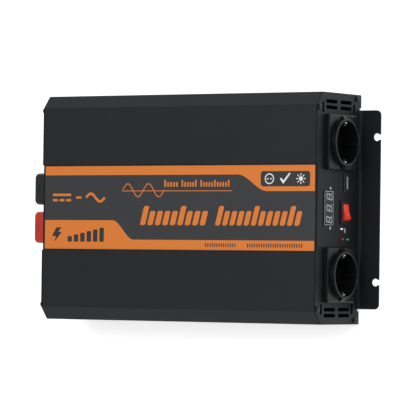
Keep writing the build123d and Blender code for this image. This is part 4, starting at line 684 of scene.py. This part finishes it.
    def pictograms(self) -> bpy.types.Object:
        """White signs in the dark field: a socket, a tick and a lamp-like sun."""
        middle = 26.3
        socket_x, sun_x = 99.6, 132.8
        made = [self.ring("socket", (socket_x, middle), 4.9, 3.9)]
        for side in (1, -1):
            made.append(self.sheet("pin", circle_outline((socket_x + side * 1.7, middle), 0.75)))
        tick = [(110.6, 26.2), (114.4, 21.6), (122.0, 31.2), (120.4, 31.6), (114.6, 24.8), (111.9, 27.3)]
        made.append(self.sheet("tick", tick))
        made.append(self.sheet("disc", circle_outline((sun_x, middle), 2.1)))
        ray = [(2.9, -0.45), (4.9, -0.45), (4.9, 0.45), (2.9, 0.45)]
        for i in range(8):
            cos, sin = math.cos(math.radians(45 * i)), math.sin(math.radians(45 * i))
            turned = [(sun_x + x * cos - y * sin, middle + x * sin + y * cos) for x, y in ray]
            made.append(self.sheet("ray", turned))
        return self.overprint(join_pieces("film_pictograms", made), 2)

    def ring(self, name: str, centre: Point2, outer: float, inner: float) -> bpy.types.Object:
        """Flat ring: a circle's edge extruded inwards, then raised."""
        clear_selection()
        bpy.ops.mesh.primitive_circle_add(vertices=40, radius=outer * MM, fill_type="NOTHING",
                                          location=(centre[0] * MM, centre[1] * MM, 0))
        piece = bpy.context.object
        piece.name = name
        bpy.ops.object.transform_apply(location=True, rotation=True, scale=True)
        bpy.ops.object.mode_set(mode="EDIT")
        bpy.ops.mesh.select_all(action="SELECT")
        bpy.ops.mesh.extrude_edges_move()
        share = inner / outer
        bpy.ops.transform.resize(value=(share, share, 1), center_override=(centre[0] * MM, centre[1] * MM, 0))
        bpy.ops.object.mode_set(mode="OBJECT")
        raise_sheet(piece, self.ink)
        place_mesh(piece, Matrix.Translation((0, 0, self.high.z * MM)))
        return piece


def circle_outline(centre: Point2, radius: float, steps: int = 28) -> list[Point2]:
    """Outline of a circle, anticlockwise."""
    angles = [math.tau * i / steps for i in range(steps)]
    return [(centre[0] + radius * math.cos(a), centre[1] + radius * math.sin(a)) for a in angles]


# ---- front panel details ----
@dataclass
class DigitDisplay:
    """Dark lens in the bezel's window with three unlit seven-segment digits and their points."""

    digit_width: float = 5.5
    digit_height: float = 10.2
    pitch: float = 10.4
    bar: float = 0.85
    gap: float = 0.15
    lean: float = 0.14
    rise: float = 0.1
    digits: int = 3
    drop: float = 0.7
    shift: float = -0.1
    point_offset: Point2 = (1.5, -0.1)
    point_radius: float = 0.6
    lens_setback: float = 0.15
    edge_inset: float = 0.6
    edge_line: float = 0.45

    def bar_outline(self, start: Point2, end: Point2) -> list[Point2]:
        """Pointed bar between two places in the digit's plane.

        Args:
            start: One tip.
            end: The other tip.

        Returns:
            Six points, anticlockwise.
        """
        length = math.dist(start, end)
        ux, uy = (end[0] - start[0]) / length, (end[1] - start[1]) / length
        half = self.bar / 2
        near, far = self.gap, length - self.gap
        tips = [(near, 0), (near + half, -half), (far - half, -half), (far, 0), (far - half, half),
                (near + half, half)]
        return [(start[0] + a * ux - b * uy, start[1] + a * uy + b * ux) for a, b in tips]

    def build(self) -> list[bpy.types.Object]:
        """Build the segments, then turn them from the drawing plane to face the socket end."""
        low, high = corners_of("display_module")
        bezel_low, bezel_high = corners_of("display_bezel")
        middle_y = (bezel_low.y + bezel_high.y) / 2
        middle_z = (bezel_low.z + bezel_high.z) / 2
        half_w, half_h = self.digit_width / 2 - self.bar / 2, self.digit_height / 2 - self.bar / 2
        made = []
        for i in range(self.digits):
            shift = (i - (self.digits - 1) / 2) * self.pitch + self.shift
            left, right = -half_w, half_w
            ends = [((left, y), (right, y)) for y in (half_h, 0, -half_h)]
            ends += [((x, 0), (x, half_h)) for x in (left, right)]
            ends += [((x, -half_h), (x, 0)) for x in (left, right)]
            outlines = [self.bar_outline(a, b) for a, b in ends]
            point = (half_w + self.point_offset[0], -half_h + self.point_offset[1])
            outlines.append(circle_outline(point, self.point_radius, 12))
            for outline in outlines:
                leaned = [(x + shift + y * self.lean, y) for x, y in outline]
                piece = outline_piece("segment", leaned)
                raise_sheet(piece, self.rise)
                made.append(piece)
        joined = join_pieces("display_segments", made)
        lens_face = bezel_high.x - self.lens_setback
        place_mesh(joined, face_front(lens_face, middle_y, middle_z - self.drop))
        window = rounded_outline(low.y - middle_y, high.y - middle_y, low.z - middle_z, high.z - middle_z,
                                 0.3, 3)
        lens = outline_piece("display_lens", window)
        raise_sheet(lens, lens_face - high.x)
        place_mesh(lens, face_front(high.x, middle_y, middle_z))
        outline = self.window_edge(bezel_low, bezel_high)
        return [deliver(joined, SEGMENT, "case"),
                deliver(lens, DISPLAY_LENS, "case"),
                deliver(outline, INK_GREY, "case")]

    def window_edge(self, low: Vector, high: Vector) -> bpy.types.Object:
        """Thin pale line round the bezel's face, raised from its edge loop."""
        width, height = high.y - low.y - 2 * self.edge_inset, high.z - low.z - 2 * self.edge_inset
        outer = rounded_outline(-width / 2, width / 2, -height / 2, height / 2, 1.0)
        piece = outline_piece("display_outline", outer)
        select_only(piece)
        bpy.ops.object.mode_set(mode="EDIT")
        bpy.ops.mesh.select_all(action="SELECT")
        bpy.ops.mesh.inset(thickness=self.edge_line * MM, depth=0)
        bpy.ops.mesh.delete(type="FACE")
        bpy.ops.object.mode_set(mode="OBJECT")
        raise_sheet(piece, 0.05)
        place_mesh(piece, face_front(high.x, (low.y + high.y) / 2, (low.z + high.z) / 2))
        return piece


def face_front(x: float, y: float, z: float) -> Matrix:
    """Matrix that stands an XY drawing up on the socket end, its X along +Y and its Y along +Z."""
    turn = Matrix(((0, 0, 1, 0), (1, 0, 0, 0), (0, 1, 0, 0), (0, 0, 0, 1)))
    return Matrix.Translation((x * MM, y * MM, z * MM)) @ turn


@dataclass
class PanelPrint:
    """Two small strokes printed on the front panel between the switch and the lamps.

    Each stroke is given by its ends along Y and then along Z.
    """

    ink: float = 0.05
    bezel_height: float = 2.0
    dash: tuple[float, float, float, float] = (-19.0, -17.5, 30.4, 35.0)
    bar: tuple[float, float, float, float] = (-21.7, -17.6, 25.9, 28.1)

    def build(self) -> list[bpy.types.Object]:
        """Build the strokes, one white and one grey."""
        panel = corners_of("switch_body")[1].x - self.bezel_height
        made = []
        for name, ends, ink in (("panel_marks_white", self.dash, INK_WHITE),
                                ("panel_marks_grey", self.bar, INK_GREY)):
            piece = outline_piece(name, rounded_outline(*ends, 0.5, 3))
            raise_sheet(piece, self.ink)
            place_mesh(piece, face_front(panel, 0, 0))
            made.append(deliver(piece, ink, "case"))
        return made


@dataclass
class PortSurround:
    """Moulded black frame round the port's metal mouth, with a shallow step inside it."""

    margin: Point2 = (1.9, 1.7)
    corner: float = 1.1
    mouth_gap: float = 0.05
    mouth_corner: float = 0.55
    proud: float = 0.15
    step: float = 0.45
    sleeve_wall: float = 0.4
    strip_side: float = 0.9
    strip_rise: float = 0.3
    strip_corner: float = 0.2
    strip_depth: float = 4.0

    def build(self) -> list[bpy.types.Object]:
        """Build the frame: a plate, its mouth inset and cut through, its front edge softened."""
        low, high = corners_of("usb_shell")
        face_x = corners_of("front_panel")[0].x + PANEL_SHEET
        middle = ((low.y + high.y) / 2, (low.z + high.z) / 2)
        wide, tall = high.y - low.y, high.z - low.z
        across, up = wide / 2 + self.margin[0], tall / 2 + self.margin[1]
        piece = outline_piece("usb_surround", rounded_outline(-across, across, -up, up, self.corner))
        raise_sheet(piece, high.x + self.proud - face_x)
        bevel_piece(piece, self.step, 3)
        across, up = wide / 2 + self.mouth_gap, tall / 2 + self.mouth_gap
        cutter = outline_piece("mouth", rounded_outline(-across, across, -up, up, self.mouth_corner))
        raise_sheet(cutter, 4 * (high.x - face_x))
        place_mesh(cutter, Matrix.Translation((0, 0, -(high.x - face_x) * MM)))
        apply_modifier(piece, "BOOLEAN", operation="DIFFERENCE", object=cutter, solver="EXACT")
        bpy.data.objects.remove(cutter)
        place_mesh(piece, face_front(face_x, *middle))
        smooth_piece(piece, 35)
        return [deliver(piece, PLASTIC_BLACK, "case"), self.spring_strip(low, high)]

    def spring_strip(self, low: Vector, high: Vector) -> bpy.types.Object:
        """Bright contact strip on the lower wall of the mouth, bevelled where the plug slides in; its
        brightness is partly a painted highlight.

        Args:
            low: The port sleeve's lowest corner.
            high: Its highest corner.

        Returns:
            The strip in its place.
        """
        half = (high.y - low.y) / 2 - self.strip_side
        bottom = low.z + self.sleeve_wall
        outline = rounded_outline(-half, half, bottom, bottom + self.strip_rise, self.strip_corner, 3)
        piece = outline_piece("usb_spring_strip", outline)
        raise_sheet(piece, self.strip_depth)
        bevel_piece(piece, 0.12, 2)
        place_mesh(piece, face_front(high.x - self.strip_depth - 0.05, (low.y + high.y) / 2, 0))
        # The strip's pale finish is partly a painted highlight, bright whatever the light.
        return deliver(piece, PALE_NICKEL_PAINTED_HIGHLIGHT, "case")


@dataclass
class RockerMarks:
    """Moulded on and off signs on the rocker's hollow face: a bar and a ring, drawn in a paler red as a
    painted highlight.
    """

    rise: float = 0.12
    radius: float = 7.9
    tip_angle: float = 34.0
    dish: float = 0.8

    def build(self) -> list[bpy.types.Object]:
        """Build both signs on the tilted rocker faces."""
        joint = next(j for j in frame["joints"] if j["name"] == "rocker_tilt")
        pivot = Vector(joint["pos_m"]) / MM
        tilt = math.radians(joint["range_deg"][1] / 2)
        made = []
        bar = outline_piece("on_bar", rounded_outline(-0.3, 0.3, -1.4, 1.4, 0.25, 3))
        raise_sheet(bar, self.rise)
        ring = outline_piece("off_ring", circle_outline((0, 0), 1.3, 24))
        select_only(ring)
        bpy.ops.object.mode_set(mode="EDIT")
        bpy.ops.mesh.select_all(action="SELECT")
        bpy.ops.mesh.inset(thickness=0.4 * MM, depth=0)
        bpy.ops.mesh.delete(type="FACE")
        bpy.ops.object.mode_set(mode="OBJECT")
        raise_sheet(ring, self.rise)
        tip = math.radians(self.tip_angle)
        tip_x, tip_y = self.radius * math.sin(tip), self.radius * math.cos(tip)
        # Halfway from the hollow's bottom to a tip, the face has come up a quarter of its depth.
        sign_x = tip_x - 0.75 * self.dish
        slope = math.atan2(self.dish, tip_y)
        for piece, side in ((bar, 1), (ring, -1)):
            local = Matrix.Translation((sign_x * MM, side * tip_y / 2 * MM, 0))
            local = local @ Matrix.Rotation(-side * slope, 4, "Z") @ face_front(0, 0, 0)
            turned = Matrix.Translation(pivot * MM) @ Matrix.Rotation(tilt, 4, "Z") @ local
            place_mesh(piece, turned)
            made.append(piece)
        joined = join_pieces("rocker_signs", made)
        # The signs' paler red is a painted highlight on their raised edges.
        return [deliver(joined, SIGN_RED_PAINTED_HIGHLIGHT, "rocker")]


# ---- cable end details ----
@dataclass
class FingerGuard:
    """Bent-wire fan guard: rings on four radial wires that end in eyes under the screw heads."""

    wire: float = 0.9
    rings: tuple[float, ...] = (8.0, 15.0, 22.0, 29.0)
    sides: int = 64
    wire_sides: int = 10
    eye_radius: float = 2.75
    clearance: float = 0.02
    ring_rise: float = 2.35
    spread: float = 25.0

    def ring(self, radius: float, x: float) -> bpy.types.Object:
        """One welded ring, spun from a wire's section."""
        clear_selection()
        bpy.ops.mesh.primitive_circle_add(vertices=self.wire_sides, radius=self.wire * MM,
                                          fill_type="NOTHING")
        piece = bpy.context.object
        # The section stands at the ring's radius along +Y, its plane holding the ring's own axis, X.
        place_mesh(piece, Matrix.Translation((x * MM, radius * MM, 0)))
        bpy.ops.object.mode_set(mode="EDIT")
        bpy.ops.mesh.select_all(action="SELECT")
        bpy.ops.mesh.spin(steps=self.sides, angle=math.tau, center=(0, 0, 0), axis=(1, 0, 0))
        bpy.ops.mesh.select_all(action="SELECT")
        bpy.ops.mesh.remove_doubles(threshold=0.01 * MM)
        bpy.ops.mesh.normals_make_consistent(inside=False)
        bpy.ops.object.mode_set(mode="OBJECT")
        return piece

    def spoke(self, angle: float, reach: float, x: float) -> bpy.types.Object:
        """Straight radial wire from the centre ring out to where an eye goes round the screw."""
        clear_selection()
        bpy.ops.mesh.primitive_cylinder_add(vertices=self.wire_sides, radius=self.wire * MM, depth=1.0 * MM,
                                            end_fill_type="NGON")
        piece = bpy.context.object
        start, end = self.rings[0] - self.wire, reach - self.eye_radius
        for vertex in piece.data.vertices:
            vertex.co.z = (end if vertex.co.z > 0 else start) * MM
        bevel_piece(piece, 0.25, 2)
        place_mesh(piece, Matrix.Translation((x * MM, 0, 0)))
        place_mesh(piece, Matrix.Rotation(angle, 4, "X"))
        return piece

    def build_one(self, name: str, middle: Vector, face_x: float) -> bpy.types.Object:
        """Build one guard about its fan's centre.

        Args:
            name: The piece's name.
            middle: The fan's centre.
            face_x: The rear panel's outer face.

        Returns:
            The guard in its place.
        """
        cross_x = face_x - self.wire - self.clearance
        ring_x = face_x - self.ring_rise * self.wire
        spread = self.spread
        reach = math.hypot(spread, spread)
        parts = [self.ring(radius, ring_x) for radius in self.rings]
        for i in range(4):
            parts.append(self.spoke(math.radians(45 + 90 * i), reach, cross_x))
        for dy in (spread, -spread):
            for dz in (spread, -spread):
                eye = self.ring(self.eye_radius, cross_x)
                place_mesh(eye, Matrix.Translation((0, dy * MM, dz * MM)))
                parts.append(eye)
        guard = join_pieces(name, parts)
        place_mesh(guard, Matrix.Translation((0, middle.y * MM, middle.z * MM)))
        smooth_piece(guard, 50)
        return guard

    def build(self) -> list[bpy.types.Object]:
        """Build both guards, which stand for the CAD guards."""
        made = []
        face_x = corners_of("fan_guards")[1].x
        for fan in ("upper", "lower"):
            low, high = corners_of(fan + "_fan_frame")
            guard = self.build_one(fan + "_wire_guard", (low + high) / 2, face_x)
            made.append(deliver(guard, NICKEL, "case"))
        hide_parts("fan_guards")
        return made


# ---- studio ----
@dataclass
class Studio:
    """Pale floor, soft lights and the camera; none of it belongs to the object."""

    camera_place: Point3 = (1.7442, -0.0603, 2.7743)
    camera_turn: Point3 = (0.02225, 0.56496, 0.00134)
    lens_mm: float = 302.0
    sensor_mm: float = 36.0
    floor_half: float = 6.0
    floor_gap: float = 0.0002
    ambient: float = 0.32

    def build(self) -> None:
        """Make the floor, the camera, the lights and the surroundings' light."""
        self.make_floor()
        self.make_camera()
        self.make_lights()
        world = bpy.data.worlds.new("studio_air")
        bpy.context.scene.world = world
        world.use_nodes = True
        background = world.node_tree.nodes["Background"]
        background.inputs["Color"].default_value = linear("#ffffff")
        background.inputs["Strength"].default_value = self.ambient
        bpy.context.scene.view_settings.view_transform = "Standard"

    def make_floor(self) -> None:
        """Wide sheet with a slightly uneven matt surface, just under the flanges."""
        clear_selection()
        bpy.ops.mesh.primitive_grid_add(x_subdivisions=8, y_subdivisions=8, size=2 * self.floor_half,
                                        location=(0, 0, cad_low.z - self.floor_gap))
        floor = bpy.context.object
        floor.name = "studio_floor"
        dress(floor, STUDIO_FLOOR)

    def make_camera(self) -> None:
        """Long lens looking down on the label face from beyond the socket end."""
        data = bpy.data.cameras.new("studio_camera")
        data.lens = self.lens_mm
        data.sensor_width = self.sensor_mm
        data.clip_end = 50.0
        camera = bpy.data.objects.new("studio_camera", data)
        bpy.context.scene.collection.objects.link(camera)
        camera.location = self.camera_place
        camera.rotation_mode = "ZYX"
        camera.rotation_euler = self.camera_turn
        bpy.context.scene.camera = camera

    def make_lights(self) -> None:
        """Large soft lights: one over the socket end, one overhead and a low fill from the cable end."""
        for name, place, target, size, power in (
                ("end_softbox", (2.2, 0.5, 0.9), (0.1, 0, 0.04), 1.6, 12.5),
                ("top_softbox", (0.5, 0.9, 2.6), (0, 0, 0), 2.0, 44.0),
                ("side_softbox", (0.3, -2.2, 1.5), (0, 0, 0), 1.6, 14.0)):
            data = bpy.data.lights.new(name, "AREA")
            data.size = size
            data.energy = power
            lamp = bpy.data.objects.new(name, data)
            bpy.context.scene.collection.objects.link(lamp)
            lamp.location = place
            lamp.rotation_euler = (Vector(target) - Vector(place)).to_track_quat("-Z", "Y").to_euler()


def dress_frame() -> None:
    """Give every carried CAD node its finish."""
    for finish, nodes in NODE_FINISHES.items():
        for name in nodes:
            dress(frame["nodes"][name], finish)
            log.info("frame node %s takes %s", name, finish.name)


def main() -> None:
    """Build the finishes, the pieces and the studio in order."""
    logging.basicConfig(level=logging.INFO, format="%(name)s: %(message)s")
    dress_frame()
    makers: Iterable = (PrintedFilm(), DigitDisplay(), PanelPrint(), PortSurround(), RockerMarks(),
                        FingerGuard())
    for maker in makers:
        for piece in maker.build():
            log.info("made %s", piece.name)
    Studio().build()


if __name__ == "__main__":
    main()
